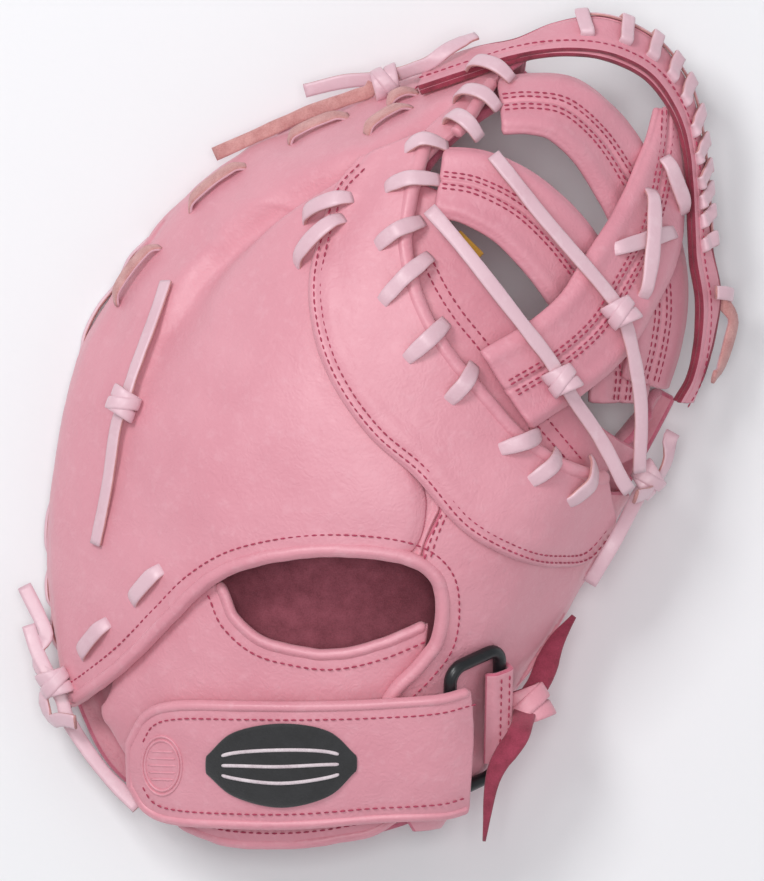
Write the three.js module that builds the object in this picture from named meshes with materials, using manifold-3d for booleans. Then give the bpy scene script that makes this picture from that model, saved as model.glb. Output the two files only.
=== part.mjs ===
import * as THREE from "three";
import { mergeVertices } from "three/addons/utils/BufferGeometryUtils.js";
import Module from "manifold-3d";

const wasm = await Module();
wasm.setup();

// Main sizes in millimetres: fingers point to +Y, the back faces up, the pocket faces the floor.
const WIDTH = 265;
const LENGTH = 325;
const HEIGHT = 105;

// Leather and lining walls
const BACK_WALL = 2.6;
const PALM_WALL = 4.2;
const LINING_WALL = 1.2;
const WEB_WALL = 3;
const STRAP_WALL = 2.6;
const TRIM_WALL = 1.4;

// Rolled edges
const WELT_RADIUS = 3.3;
const TIP_WELT_RADIUS = 2.6;
const BINDING_RADIUS = 2.9;
const THIN_BINDING_RADIUS = 2.3;
const ROLL_SIDES = 6;
const THIN_ROLL_SIDES = 6;

// Lacing thong
const LACE_WIDTH = 6.4;
const LACE_THICK = 1.7;
const TAIL_WIDTH = 5.6;

// Clearances between neighbouring pieces, and the lift of one layer over the next
const GAP = 0.3;
const HOLE_GAP = 0.5;
const LAYER = BACK_WALL + GAP + 0.8;
const WEB_LAYER = WEB_WALL + GAP + 0.2;

// Rim where back and palm leathers meet: turned edge of the back, flange of the palm
const TUCK = 2;
const BULGE = 0.9;
const FLANGE = 8;
const PALM_REACH = 70;
const PALM_INSET = 2.4;
const PALM_GAP = 0.7;
const FLOOR = 0;

// Plastic ring
const RING_WIRE = 4;
const RING_WIDTH = 26;
const RING_LIFT = 4.2;
const RING_TILT = [2, 3];
const LOOP_WALL = 2;
const LOOP_WIDTH = 40;
const RING_LENGTH = 57;
const RING_CORNER = 6;

// Colours
const PINK = 0xeab4c0;
const LACE_PINK = 0xe8cdd4;
const LINING_PINK = 0x8a3a4a;
const BLACK = 0x1e2023;
const MUSTARD = 0xc8940c;
const DEEP_PINK = 0xb4445f;

// Heights of the back as shares of HEIGHT, in rows across the mitt from web to heel. The nine
// columns crowd towards both edges, so that the sides are round.

const SECTIONS = [
  { y: 1.010, left: 0.766, right: 0.876, heights: [0.32, 0.34, 0.36, 0.38, 0.39, 0.39, 0.37, 0.35, 0.33] },
  { y: 0.952, left: 0.582, right: 0.923, heights: [0.23, 0.30, 0.40, 0.50, 0.55, 0.52, 0.44, 0.36, 0.30] },
  { y: 0.904, left: 0.442, right: 0.954, heights: [0.18, 0.29, 0.45, 0.63, 0.74, 0.68, 0.51, 0.36, 0.27] },
  { y: 0.844, left: 0.281, right: 0.966, heights: [0.14, 0.29, 0.50, 0.74, 0.87, 0.78, 0.57, 0.36, 0.25] },
  { y: 0.784, left: 0.191, right: 0.973, heights: [0.13, 0.30, 0.53, 0.80, 0.93, 0.84, 0.61, 0.34, 0.22] },
  { y: 0.663, left: 0.082, right: 0.996, heights: [0.13, 0.31, 0.55, 0.86, 0.99, 0.89, 0.65, 0.34, 0.19] },
  { y: 0.543, left: 0.025, right: 0.950, heights: [0.14, 0.32, 0.59, 0.89, 1.01, 0.93, 0.70, 0.40, 0.23] },
  { y: 0.423, left: 0.003, right: 0.859, heights: [0.15, 0.32, 0.57, 0.86, 0.99, 0.97, 0.84, 0.53, 0.32] },
  { y: 0.303, left: 0.003, right: 0.779, heights: [0.16, 0.32, 0.55, 0.78, 0.90, 0.91, 0.78, 0.51, 0.32] },
  { y: 0.183, left: 0.024, right: 0.688, heights: [0.19, 0.32, 0.50, 0.67, 0.76, 0.78, 0.69, 0.48, 0.32] },
  { y: 0.087, left: 0.099, right: 0.649, heights: [0.27, 0.36, 0.48, 0.59, 0.66, 0.66, 0.59, 0.46, 0.34] },
  { y: -0.010, left: 0.214, right: 0.538, heights: [0.36, 0.40, 0.46, 0.50, 0.53, 0.52, 0.50, 0.43, 0.38] },
];

// Where the rim's edge lies: degrees round the mitt's middle, height in millimetres
const RIM_CENTRE = [0.45, 0.45];
const RIM_LOW = [
  { turn: 0, low: 4.4 },
  { turn: 9, low: 4.2 },
  { turn: 15, low: 7 },
  { turn: 27, low: 14 },
  { turn: 54, low: 18 },
  { turn: 67, low: 16 },
  { turn: 83, low: 12 },
  { turn: 100, low: 9 },
  { turn: 125, low: 7 },
  { turn: 155, low: 4.6 },
  { turn: 175, low: 4.2 },
  { turn: 200, low: 4.2 },
  { turn: 218, low: 7 },
  { turn: 234, low: 14 },
  { turn: 250, low: 4.2 },
  { turn: 266, low: 4.2 },
  { turn: 277, low: 12 },
  { turn: 292, low: 12 },
  { turn: 312, low: 8 },
  { turn: 338, low: 6 },
  { turn: 360, low: 4.4 },
];

// Tables of plan points: shares of WIDTH and LENGTH from the lower left corner.
// Back of the fingers: turned rim, crease, sewn or bound edge, and the depth share of the crease
const FINGER_BACK = [
  { rim: [0.708, 0.957], fold: [0.691, 0.947], edge: [0.670, 0.935], dent: 0 },
  { rim: [0.652, 0.958], fold: [0.651, 0.935], edge: [0.648, 0.911], dent: 0 },
  { rim: [0.596, 0.947], fold: [0.614, 0.911], edge: [0.629, 0.882], dent: 0.1 },
  { rim: [0.545, 0.935], fold: [0.564, 0.877], edge: [0.585, 0.849], dent: 0.5 },
  { rim: [0.486, 0.921], fold: [0.517, 0.841], edge: [0.538, 0.810], dent: 1 },
  { rim: [0.420, 0.900], fold: [0.446, 0.819], edge: [0.482, 0.784], dent: 1 },
  { rim: [0.353, 0.875], fold: [0.395, 0.798], edge: [0.452, 0.754], dent: 1 },
  { rim: [0.287, 0.844], fold: [0.349, 0.779], edge: [0.434, 0.709], dent: 1 },
  { rim: [0.228, 0.808], fold: [0.305, 0.755], edge: [0.426, 0.663], dent: 1 },
  { rim: [0.174, 0.767], fold: [0.261, 0.724], edge: [0.434, 0.609], dent: 0.95 },
  { rim: [0.122, 0.714], fold: [0.225, 0.692], edge: [0.461, 0.555], dent: 0.85 },
  { rim: [0.078, 0.657], fold: [0.199, 0.649], edge: [0.505, 0.510], dent: 0.6 },
  { rim: [0.046, 0.601], fold: [0.169, 0.609], edge: [0.543, 0.469], dent: 0.35 },
  { rim: [0.024, 0.529], fold: [0.143, 0.537], edge: [0.570, 0.417], dent: 0.15 },
  { rim: [0.007, 0.447], fold: [0.110, 0.450], edge: [0.541, 0.356], dent: 0 },
  { rim: [0.000, 0.363], fold: [0.088, 0.365], edge: [0.420, 0.363], dent: 0 },
  { rim: [0.003, 0.297], fold: [0.071, 0.303], edge: [0.302, 0.350], dent: 0 },
  { rim: [0.013, 0.243], fold: [0.054, 0.255], edge: [0.214, 0.308], dent: 0 },
  { rim: [0.021, 0.207], fold: [0.043, 0.216], edge: [0.118, 0.231], dent: 0 },
  { rim: [0.027, 0.175], fold: [0.034, 0.179], edge: [0.043, 0.186], dent: 0 },
];

// Sewn edge of the crescent from the crease round to the thumb tip
const CRESCENT_SEAM = [
  { at: [0.464, 0.825] },
  { at: [0.429, 0.791] },
  { at: [0.401, 0.720] },
  { at: [0.393, 0.663] },
  { at: [0.405, 0.603] },
  { at: [0.434, 0.548] },
  { at: [0.482, 0.495] },
  { at: [0.545, 0.450] },
  { at: [0.613, 0.388] },
  { at: [0.698, 0.352] },
  { at: [0.753, 0.346] },
  { at: [0.798, 0.352] },
  { at: [0.838, 0.387] },
];

// Thumb base from under the crescent down to the lobe below the strap
const THUMB_BASE = [
  { inner: [0.591, 0.440], rim: [0.862, 0.428] },
  { inner: [0.579, 0.401], rim: [0.835, 0.387] },
  { inner: [0.558, 0.361], rim: [0.811, 0.344] },
  { inner: [0.579, 0.327], rim: [0.788, 0.315] },
  { inner: [0.586, 0.291], rim: [0.764, 0.279] },
  { inner: [0.576, 0.252], rim: [0.744, 0.249] },
  { inner: [0.549, 0.221], rim: [0.722, 0.221] },
  { inner: [0.520, 0.197], rim: [0.697, 0.195] },
  { inner: [0.508, 0.171], rim: [0.679, 0.168] },
  { inner: [0.508, 0.129], rim: [0.673, 0.129] },
  { inner: [0.515, 0.087], rim: [0.652, 0.093] },
  { inner: [0.529, 0.050], rim: [0.614, 0.062] },
  { inner: [0.546, 0.024], rim: [0.582, 0.026] },
];

// Centre of the rolled welt, from the fingertip side to the thumb tip
const WELT = [
  { at: [0.564, 0.856] },
  { at: [0.546, 0.808] },
  { at: [0.533, 0.762] },
  { at: [0.530, 0.718] },
  { at: [0.542, 0.672] },
  { at: [0.563, 0.630] },
  { at: [0.594, 0.591] },
  { at: [0.641, 0.546] },
  { at: [0.688, 0.502] },
  { at: [0.736, 0.471] },
  { at: [0.781, 0.456] },
  { at: [0.820, 0.450] },
];

// Centre of the short welt at the fingertip
const TIP_WELT = [
  { at: [0.605, 0.856] },
  { at: [0.622, 0.873] },
  { at: [0.638, 0.894] },
  { at: [0.660, 0.921] },
];

// Free edge of the palm leather beside the welt
const PALM_LIP = [
  { edge: [0.588, 0.788] },
  { edge: [0.599, 0.738] },
  { edge: [0.644, 0.697] },
  { edge: [0.685, 0.654] },
  { edge: [0.723, 0.609] },
  { edge: [0.761, 0.561] },
  { edge: [0.806, 0.522] },
  { edge: [0.850, 0.493] },
  { edge: [0.888, 0.476] },
];

// Upper web band: centre, width in millimetres and layer of the weave
const BAR_UPPER = [
  { at: [0.673, 0.897], wide: 22, layer: 0 },
  { at: [0.717, 0.899], wide: 24, layer: 0 },
  { at: [0.766, 0.892], wide: 26, layer: -0.1 },
  { at: [0.817, 0.862], wide: 26, layer: -0.7 },
  { at: [0.859, 0.820], wide: 26, layer: -1.3 },
  { at: [0.891, 0.769], wide: 25, layer: -1.3 },
  { at: [0.912, 0.709], wide: 24, layer: -1.3 },
  { at: [0.918, 0.657], wide: 22, layer: -1.3 },
  { at: [0.912, 0.609], wide: 20, layer: -1.3 },
  { at: [0.898, 0.561], wide: 18, layer: -1.3 },
];

// Lower web band
const BAR_LOWER = [
  { at: [0.583, 0.803], wide: 27, layer: 0 },
  { at: [0.633, 0.796], wide: 29, layer: 0 },
  { at: [0.692, 0.772], wide: 30, layer: 0 },
  { at: [0.744, 0.736], wide: 31, layer: -0.4 },
  { at: [0.788, 0.697], wide: 31, layer: -1.2 },
  { at: [0.826, 0.657], wide: 30, layer: -2.4 },
  { at: [0.854, 0.615], wide: 28, layer: -2.4 },
  { at: [0.865, 0.573], wide: 25, layer: -2.4 },
  { at: [0.862, 0.537], wide: 22, layer: -2.4 },
];

// Upright web band over both
const POST = [
  { at: [0.675, 0.555], wide: 35, layer: 1 },
  { at: [0.744, 0.591], wide: 34, layer: 1 },
  { at: [0.803, 0.633], wide: 34, layer: 1 },
  { at: [0.842, 0.683], wide: 33, layer: 1 },
  { at: [0.876, 0.730], wide: 31, layer: 0.9 },
  { at: [0.897, 0.778], wide: 25, layer: 0.6 },
  { at: [0.910, 0.820], wide: 19, layer: 0.2 },
  { at: [0.919, 0.858], wide: 13, layer: -0.1 },
  { at: [0.922, 0.894], wide: 8, layer: -0.2 },
];

// Folded arch round the web
const WEB_RIM = [
  { outer: [0.570, 0.945], inner: [0.558, 0.913] },
  { outer: [0.641, 0.964], inner: [0.626, 0.931] },
  { outer: [0.700, 0.972], inner: [0.700, 0.950] },
  { outer: [0.758, 0.992], inner: [0.758, 0.957] },
  { outer: [0.820, 0.998], inner: [0.820, 0.953] },
  { outer: [0.884, 0.977], inner: [0.873, 0.935] },
  { outer: [0.923, 0.947], inner: [0.909, 0.907] },
  { outer: [0.951, 0.904], inner: [0.935, 0.868] },
  { outer: [0.965, 0.844], inner: [0.947, 0.814] },
  { outer: [0.972, 0.784], inner: [0.950, 0.760] },
  { outer: [0.978, 0.724], inner: [0.953, 0.709] },
  { outer: [0.991, 0.675], inner: [0.962, 0.663] },
  { outer: [0.982, 0.627], inner: [0.960, 0.618] },
  { outer: [0.968, 0.585], inner: [0.950, 0.577] },
  { outer: [0.953, 0.548], inner: [0.929, 0.546] },
];

// Pocket side: outer rim and the edge below the crotch
const PALM = [
  { outer: [0.708, 0.952], inner: [0.677, 0.913] },
  { outer: [0.567, 0.940], inner: [0.579, 0.850] },
  { outer: [0.405, 0.895], inner: [0.545, 0.796] },
  { outer: [0.250, 0.822], inner: [0.533, 0.745] },
  { outer: [0.110, 0.700], inner: [0.535, 0.694] },
  { outer: [0.031, 0.549], inner: [0.552, 0.645] },
  { outer: [0.001, 0.387], inner: [0.573, 0.615] },
  { outer: [0.019, 0.219], inner: [0.592, 0.591] },
  { outer: [0.110, 0.075], inner: [0.611, 0.572] },
  { outer: [0.339, 0.008], inner: [0.632, 0.553] },
  { outer: [0.515, 0.017], inner: [0.652, 0.535] },
  { outer: [0.635, 0.081], inner: [0.676, 0.513] },
  { outer: [0.714, 0.212], inner: [0.705, 0.492] },
  { outer: [0.803, 0.333], inner: [0.744, 0.470] },
  { outer: [0.873, 0.442], inner: [0.791, 0.457] },
  { outer: [0.912, 0.500], inner: [0.850, 0.481] },
  { outer: [0.938, 0.541], inner: [0.894, 0.519] },
];

// Rise of the pocket side from rim to crotch
const POCKET = [
  { plan: 0, rise: 0 },
  { plan: 0.05, rise: 0.12 },
  { plan: 0.16, rise: 0.33 },
  { plan: 0.35, rise: 0.55 },
  { plan: 0.6, rise: 0.74 },
  { plan: 0.8, rise: 0.88 },
  { plan: 1, rise: 1 },
];

// Rolled edge of the hand opening
const HAND_BINDING = [
  { at: [0.028, 0.175] },
  { at: [0.078, 0.204] },
  { at: [0.125, 0.236] },
  { at: [0.177, 0.279] },
  { at: [0.228, 0.320] },
  { at: [0.287, 0.347] },
  { at: [0.376, 0.362] },
  { at: [0.464, 0.363] },
  { at: [0.538, 0.353] },
  { at: [0.576, 0.331] },
  { at: [0.586, 0.297] },
  { at: [0.579, 0.255] },
  { at: [0.552, 0.224] },
  { at: [0.523, 0.200] },
  { at: [0.505, 0.180] },
];

// Wrist pad: upper edge, rolled from the fourth row on, and hem
const PAD = [
  { top: [0.066, 0.168], hem: [0.078, 0.142] },
  { top: [0.140, 0.226], hem: [0.110, 0.096] },
  { top: [0.208, 0.276], hem: [0.140, 0.055] },
  { top: [0.244, 0.317], hem: [0.172, 0.026] },
  { top: [0.270, 0.279], hem: [0.237, 0.007] },
  { top: [0.311, 0.250], hem: [0.309, 0.001] },
  { top: [0.364, 0.237], hem: [0.376, 0.002] },
  { top: [0.423, 0.232], hem: [0.434, 0.007] },
  { top: [0.493, 0.243], hem: [0.490, 0.017] },
  { top: [0.567, 0.266], hem: [0.532, 0.036] },
];

// Closing strap
const STRAP = [
  { top: [0.130, 0.132], bottom: [0.130, 0.084], lift: 4 },
  { top: [0.155, 0.166], bottom: [0.155, 0.053], lift: 4 },
  { top: [0.199, 0.179], bottom: [0.199, 0.040], lift: 4 },
  { top: [0.287, 0.180], bottom: [0.287, 0.037], lift: 4 },
  { top: [0.376, 0.180], bottom: [0.376, 0.038], lift: 4 },
  { top: [0.479, 0.184], bottom: [0.479, 0.047], lift: 5 },
  { top: [0.561, 0.197], bottom: [0.561, 0.060], lift: 11 },
  { top: [0.602, 0.209], bottom: [0.598, 0.070], lift: 12.2 },
];

// Badge on the strap
const BADGE = [
  { top: [0.246, 0.123], bottom: [0.246, 0.101] },
  { top: [0.284, 0.150], bottom: [0.284, 0.075] },
  { top: [0.351, 0.161], bottom: [0.351, 0.062] },
  { top: [0.417, 0.153], bottom: [0.417, 0.076] },
  { top: [0.457, 0.125], bottom: [0.457, 0.106] },
];

// Lace loops over the welt: outer hole, inner hole
const WEB_LOOPS = [
  { from: [0.532, 0.835], to: [0.591, 0.845] },
  { from: [0.504, 0.790], to: [0.579, 0.804] },
  { from: [0.490, 0.721], to: [0.555, 0.755] },
  { from: [0.496, 0.655], to: [0.566, 0.713] },
  { from: [0.530, 0.589], to: [0.589, 0.635] },
  { from: [0.589, 0.540], to: [0.630, 0.584] },
  { from: [0.661, 0.483], to: [0.726, 0.502] },
  { from: [0.705, 0.444], to: [0.754, 0.481] },
  { from: [0.758, 0.421], to: [0.806, 0.472] },
];

// Lace loops over the short welt
const TIP_LOOPS = [
  { from: [0.591, 0.877], to: [0.638, 0.853] },
  { from: [0.605, 0.906], to: [0.666, 0.889] },
  { from: [0.632, 0.933], to: [0.688, 0.921] },
];

// Strands of the rim lace, laid on the band
const RIM_STRANDS = [
  { from: [0.546, 0.916], to: [0.505, 0.900] },
  { from: [0.535, 0.897], to: [0.473, 0.865] },
  { from: [0.442, 0.888], to: [0.358, 0.858] },
  { from: [0.289, 0.829], to: [0.208, 0.778] },
  { from: [0.158, 0.732], to: [0.096, 0.666] },
];

// Two strands in a V over the sewn edge of the crescent
const VEE = [
  { from: [0.381, 0.758], to: [0.455, 0.780] },
  { from: [0.443, 0.755], to: [0.371, 0.704] },
];

// Strands in slots beside the hand opening
const SLOT = [
  { from: [0.172, 0.341], to: [0.128, 0.300] },
  { from: [0.090, 0.275], to: [0.049, 0.233] },
];

// Strands over the upright web band
const CROSS = [
  { from: [0.910, 0.834], to: [0.938, 0.769] },
  { from: [0.922, 0.743], to: [0.829, 0.721] },
  { from: [0.885, 0.792], to: [0.872, 0.667] },
];

// Places of the arch lace's loops, as shares along the arch
const ARCH_LOOPS = [0.259, 0.316, 0.37, 0.428, 0.474, 0.522, 0.56, 0.596, 0.63, 0.662, 0.7];

// Seam lace: share along the finger rim and how far it stands out in millimetres
const SEAM_LACE = [
  [0.5, 0.2],
  [0.525, 1.6],
  [0.55, 0.2],
  [0.58, 1.8],
  [0.61, 1.8],
  [0.635, 0.2],
  [0.7, 0.2],
  [0.745, 0.2],
  [0.765, 1.9],
  [0.785, 1.9],
  [0.8, 0.2],
  [0.82, 1.9],
  [0.838, 1.9],
  [0.85, 0.2],
  [0.868, 1.9],
  [0.885, 1.9],
  [0.9, 0.2],
];

// Ring centre in plan; section of its leather loop; ends and depth of the mustard tab
const RING_AT = [0.620, 0.161];
const LOOP_PATH = [[4.6, -2.4], [3.9, 2.2], [2.2, 4.1], [-2.4, 4.1], [-6, 3.4], [-8.6, 1.2]];
const TAB = [[0.599, 0.736], [0.635, 0.709], [0.03, 0.02]];

// Interpolation through evenly spaced rows of numbers
function through(rows, t) {
  const last = rows.length - 1;
  const at = Math.min(Math.max(t, 0), 1) * last;
  const i = Math.min(Math.floor(at), last - 1);
  const f = at - i;
  const row = (k) => rows[Math.min(Math.max(k, 0), last)];
  const before = i > 0 ? row(i - 1) : row(0).map((v, c) => 2 * v - row(1)[c]);
  const after = i + 2 <= last ? row(i + 2) : row(last).map((v, c) => 2 * v - row(last - 1)[c]);
  const [p, q] = [row(i), row(i + 1)];
  return p.map((v, c) => {
    const a = -before[c] + 3 * v - 3 * q[c] + after[c];
    const b = 2 * before[c] - 5 * v + 4 * q[c] - after[c];
    return 0.5 * (a * f * f * f + b * f * f + (q[c] - before[c]) * f) + v;
  });
}

// One column of a table as a curve of plan shares
function column(table, name) {
  const rows = table.map((row) => row[name]);
  return (t) => through(rows, t);
}

// One plain number column of a table as a function
function profile(table, name) {
  const rows = table.map((row) => [row[name]]);
  return (t) => through(rows, t)[0];
}

// Height of the back over a plan point given in shares
function heightAt(x, y) {
  const rows = SECTIONS;
  let i = 0;
  while (i < rows.length - 2 && y < rows[i + 1].y) i += 1;
  const f = Math.min(Math.max((rows[i].y - y) / (rows[i].y - rows[i + 1].y), 0), 1);
  const t = (i + f) / (rows.length - 1);
  const left = through(rows.map((row) => [row.left]), t)[0];
  const right = through(rows.map((row) => [row.right]), t)[0];
  const across = Math.min(Math.max((x - left) / (right - left), 0), 1);
  const heights = through(rows.map((row) => row.heights), t);
  const turned = Math.acos(1 - 2 * across) / Math.PI;
  return HEIGHT * through(heights.map((v) => [v]), turned)[0];
}

const SLOPE_STEP = 0.006;
const STEEPEST = 1.2;

// Point at lift millimetres from the back, along its slope's normal
function place(at, lift = 0, steepest = STEEPEST) {
  const [x, y] = at;
  const limit = (v) => Math.min(Math.max(v, -steepest), steepest);
  const run = 2 * SLOPE_STEP;
  const rise = (a, b) => heightAt(...a) - heightAt(...b);
  const sx = limit(rise([x + SLOPE_STEP, y], [x - SLOPE_STEP, y]) / (run * WIDTH));
  const sy = limit(rise([x, y + SLOPE_STEP], [x, y - SLOPE_STEP]) / (run * LENGTH));
  const normal = new THREE.Vector3(-sx, -sy, 1).normalize();
  const point = new THREE.Vector3((x - 0.5) * WIDTH, (y - 0.5) * LENGTH, heightAt(x, y));
  return point.addScaledVector(normal, lift);
}

// Height at which the back leather ends at the rim, by the direction from the middle
function rimLow(point) {
  const turn = Math.atan2(point.y - RIM_CENTRE[1] * LENGTH, point.x - RIM_CENTRE[0] * WIDTH);
  const degrees = ((turn * 180) / Math.PI + 360) % 360;
  let i = RIM_LOW.length - 1;
  while (i > 0 && RIM_LOW[i].turn > degrees) i -= 1;
  const here = RIM_LOW[i];
  const next = RIM_LOW[Math.min(i + 1, RIM_LOW.length - 1)];
  const span = Math.max(next.turn - here.turn, 1);
  const f = (degrees - here.turn) / span;
  const eased = f * f * (3 - 2 * f);
  return here.low + (next.low - here.low) * eased;
}

const mix = (a, b, f) => a.clone().lerp(b, f);

// Closed geometry from corner points and faces, turned outward
function closed(points, faces) {
  const corner = new Float32Array(points.length * 3);
  points.forEach((p, i) => p.toArray(corner, 3 * i));
  let volume = 0;
  for (const [a, b, c] of faces) {
    volume += points[a].dot(new THREE.Vector3().crossVectors(points[b], points[c]));
  }
  const index = faces.flatMap(([a, b, c]) => (volume < 0 ? [a, c, b] : [a, b, c]));
  const geometry = new THREE.BufferGeometry();
  geometry.setAttribute("position", new THREE.BufferAttribute(corner, 3));
  geometry.setIndex(index);
  return geometry;
}

// Sheet with a wall, between two grids of points of one size
function shell(outer, inner) {
  const rows = outer.length;
  const cols = outer[0].length;
  const points = [...outer.flat(), ...inner.flat()];
  const half = rows * cols;
  const id = (side, i, j) => side * half + i * cols + j;
  const faces = [];
  const quad = (a, b, c, d) => faces.push([a, b, c], [a, c, d]);
  for (let i = 0; i + 1 < rows; i += 1) {
    for (let j = 0; j + 1 < cols; j += 1) {
      quad(id(0, i, j), id(0, i, j + 1), id(0, i + 1, j + 1), id(0, i + 1, j));
      quad(id(1, i, j), id(1, i + 1, j), id(1, i + 1, j + 1), id(1, i, j + 1));
    }
  }
  for (let i = 0; i + 1 < rows; i += 1) {
    quad(id(0, i, 0), id(0, i + 1, 0), id(1, i + 1, 0), id(1, i, 0));
    quad(id(0, i + 1, cols - 1), id(0, i, cols - 1), id(1, i, cols - 1), id(1, i + 1, cols - 1));
  }
  for (let j = 0; j + 1 < cols; j += 1) {
    quad(id(0, 0, j + 1), id(0, 0, j), id(1, 0, j), id(1, 0, j + 1));
    quad(id(0, rows - 1, j), id(0, rows - 1, j + 1), id(1, rows - 1, j + 1), id(1, rows - 1, j));
  }
  return closed(points, faces);
}

// Panel on the back: plan(i, j) gives a plan point for two shares, lift(i, j) its height above
function panel({ plan, lift, wall, along, across, slope }) {
  const grid = (drop) => Array.from({ length: along + 1 }, (_, i) =>
    Array.from({ length: across + 1 }, (__, j) => {
      const [u, v] = [i / along, j / across];
      return place(plan(u, v), lift(u, v) - drop, slope);
    }));
  return shell(grid(0), grid(wall));
}

// Adds the turned rim to a panel's grids: outward bulge, then the edge tucked in at the palm
function turnedPanel({ plan, lift, wall, along, across }) {
  const rim = [];
  for (let i = 0; i <= along; i += 1) rim.push(place(plan(i / along, 0), lift(i / along, 0)));
  const outer = [];
  const inner = [];
  rim.forEach((edge, i) => {
    const u = i / along;
    const ahead = rim[Math.min(i + 1, along)].clone().sub(rim[Math.max(i - 1, 0)]);
    const out = new THREE.Vector3(ahead.y, -ahead.x, 0).normalize();
    const middle = new THREE.Vector3((RIM_CENTRE[0] - 0.5) * WIDTH, (RIM_CENTRE[1] - 0.5) * LENGTH, 0);
    if (out.dot(edge.clone().sub(middle)) < 0) out.negate();
    const low = Math.min(rimLow(edge), edge.z - 4);
    const mid = edge.clone().addScaledVector(out, BULGE).setZ(edge.z * 0.5 + low * 0.5);
    const foot = edge.clone().addScaledVector(out, -TUCK).setZ(low);
    const rows = [[], []];
    rows[0].push(foot, mid);
    rows[1].push(foot.clone().addScaledVector(out, -wall), mid.clone().addScaledVector(out, -wall));
    rows[0].push(edge);
    rows[1].push(edge.clone().addScaledVector(out, -wall * 0.9).setZ(edge.z - wall * 0.45));
    for (let j = 1; j <= across; j += 1) {
      const v = j / across;
      rows[0].push(place(plan(u, v), lift(u, v)));
      rows[1].push(place(plan(u, v), lift(u, v) - wall));
    }
    outer.push(rows[0]);
    inner.push(rows[1]);
  });
  return shell(outer, inner);
}

// Rolled edge along a path of points; a longer one serves for cutting room
function roll(points, radius, steps, longer = 0, sides = ROLL_SIDES) {
  const ends = points.map((p) => p.clone());
  const stretch = (end, next) => end.addScaledVector(end.clone().sub(next).normalize(), longer);
  stretch(ends[0], ends[1]);
  stretch(ends[ends.length - 1], ends[ends.length - 2]);
  const path = new THREE.CatmullRomCurve3(ends, false, "centripetal");
  const corners = Array.from({ length: sides }, (_, k) => {
    const a = (2 * Math.PI * (k + 0.5)) / sides;
    return new THREE.Vector2(radius * Math.cos(a), radius * Math.sin(a));
  });
  const shape = new THREE.Shape(corners);
  return new THREE.ExtrudeGeometry(shape, { steps, bevelEnabled: false, extrudePath: path });
}

// Flat thong through knots { at, side }: at is a point, side the direction of its width
function thong(knots, { width, thick, steps, grow = 0, ring = false, ends = [1, 1] }) {
  const path = new THREE.CatmullRomCurve3(knots.map((k) => k.at), ring, "centripetal");
  const count = (knots.length - (ring ? 0 : 1)) * steps;
  const sides = knots.map((k) => k.side.toArray());
  if (ring) sides.push(sides[0]);
  const outline = [];
  let last = sides[0];
  const rows = ring ? count : count + 1;
  for (let i = 0; i < rows; i += 1) {
    const u = i / count;
    const at = path.getPoint(u);
    const run = path.getTangent(u);
    const side = new THREE.Vector3(...through(sides, u));
    side.addScaledVector(run, -side.dot(run)).normalize();
    if (side.dot(new THREE.Vector3(...last)) < 0) side.negate();
    last = side.toArray();
    const up = new THREE.Vector3().crossVectors(side, run).normalize();
    const taper = Math.min(1, ends[0] + (1 - ends[0]) * u * 4, ends[1] + (1 - ends[1]) * (1 - u) * 4);
    const [w, h] = [(width * taper) / 2 + grow, thick / 2 + grow];
    outline.push([[w, h], [-w, h], [-w, -h], [w, -h]].map(([a, b]) =>
      at.clone().addScaledVector(side, a).addScaledVector(up, b)));
  }
  const faces = [];
  const id = (i, k) => (i % rows) * 4 + (k % 4);
  const spans = ring ? rows : rows - 1;
  for (let i = 0; i < spans; i += 1) {
    for (let k = 0; k < 4; k += 1) {
      const [a, b, c, d] = [id(i, k), id(i + 1, k), id(i + 1, k + 1), id(i, k + 1)];
      faces.push([a, b, c], [a, c, d]);
    }
  }
  if (!ring) {
    faces.push([0, 1, 2], [0, 2, 3]);
    const e = (rows - 1) * 4;
    faces.push([e, e + 2, e + 1], [e, e + 3, e + 2]);
  }
  return closed(outline.flat(), faces);
}

// Solids for cutting and joining
function solid(geometry) {
  const bare = new THREE.BufferGeometry();
  bare.setAttribute("position", geometry.getAttribute("position").clone());
  if (geometry.index) bare.setIndex(geometry.index.clone());
  const welded = mergeVertices(bare, 1e-4);
  return new wasm.Manifold(new wasm.Mesh({
    numProp: 3,
    vertProperties: new Float32Array(welded.getAttribute("position").array),
    triVerts: new Uint32Array(welded.index.array),
  }));
}

// Groups of numbers that are joined pair by pair
function groups(count) {
  const root = Array.from({ length: count }, (_, i) => i);
  const find = (i) => {
    let at = i;
    while (root[at] !== at) {
      root[at] = root[root[at]];
      at = root[at];
    }
    return at;
  };
  return { find, join: (a, b) => { root[find(a)] = find(b); } };
}

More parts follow.
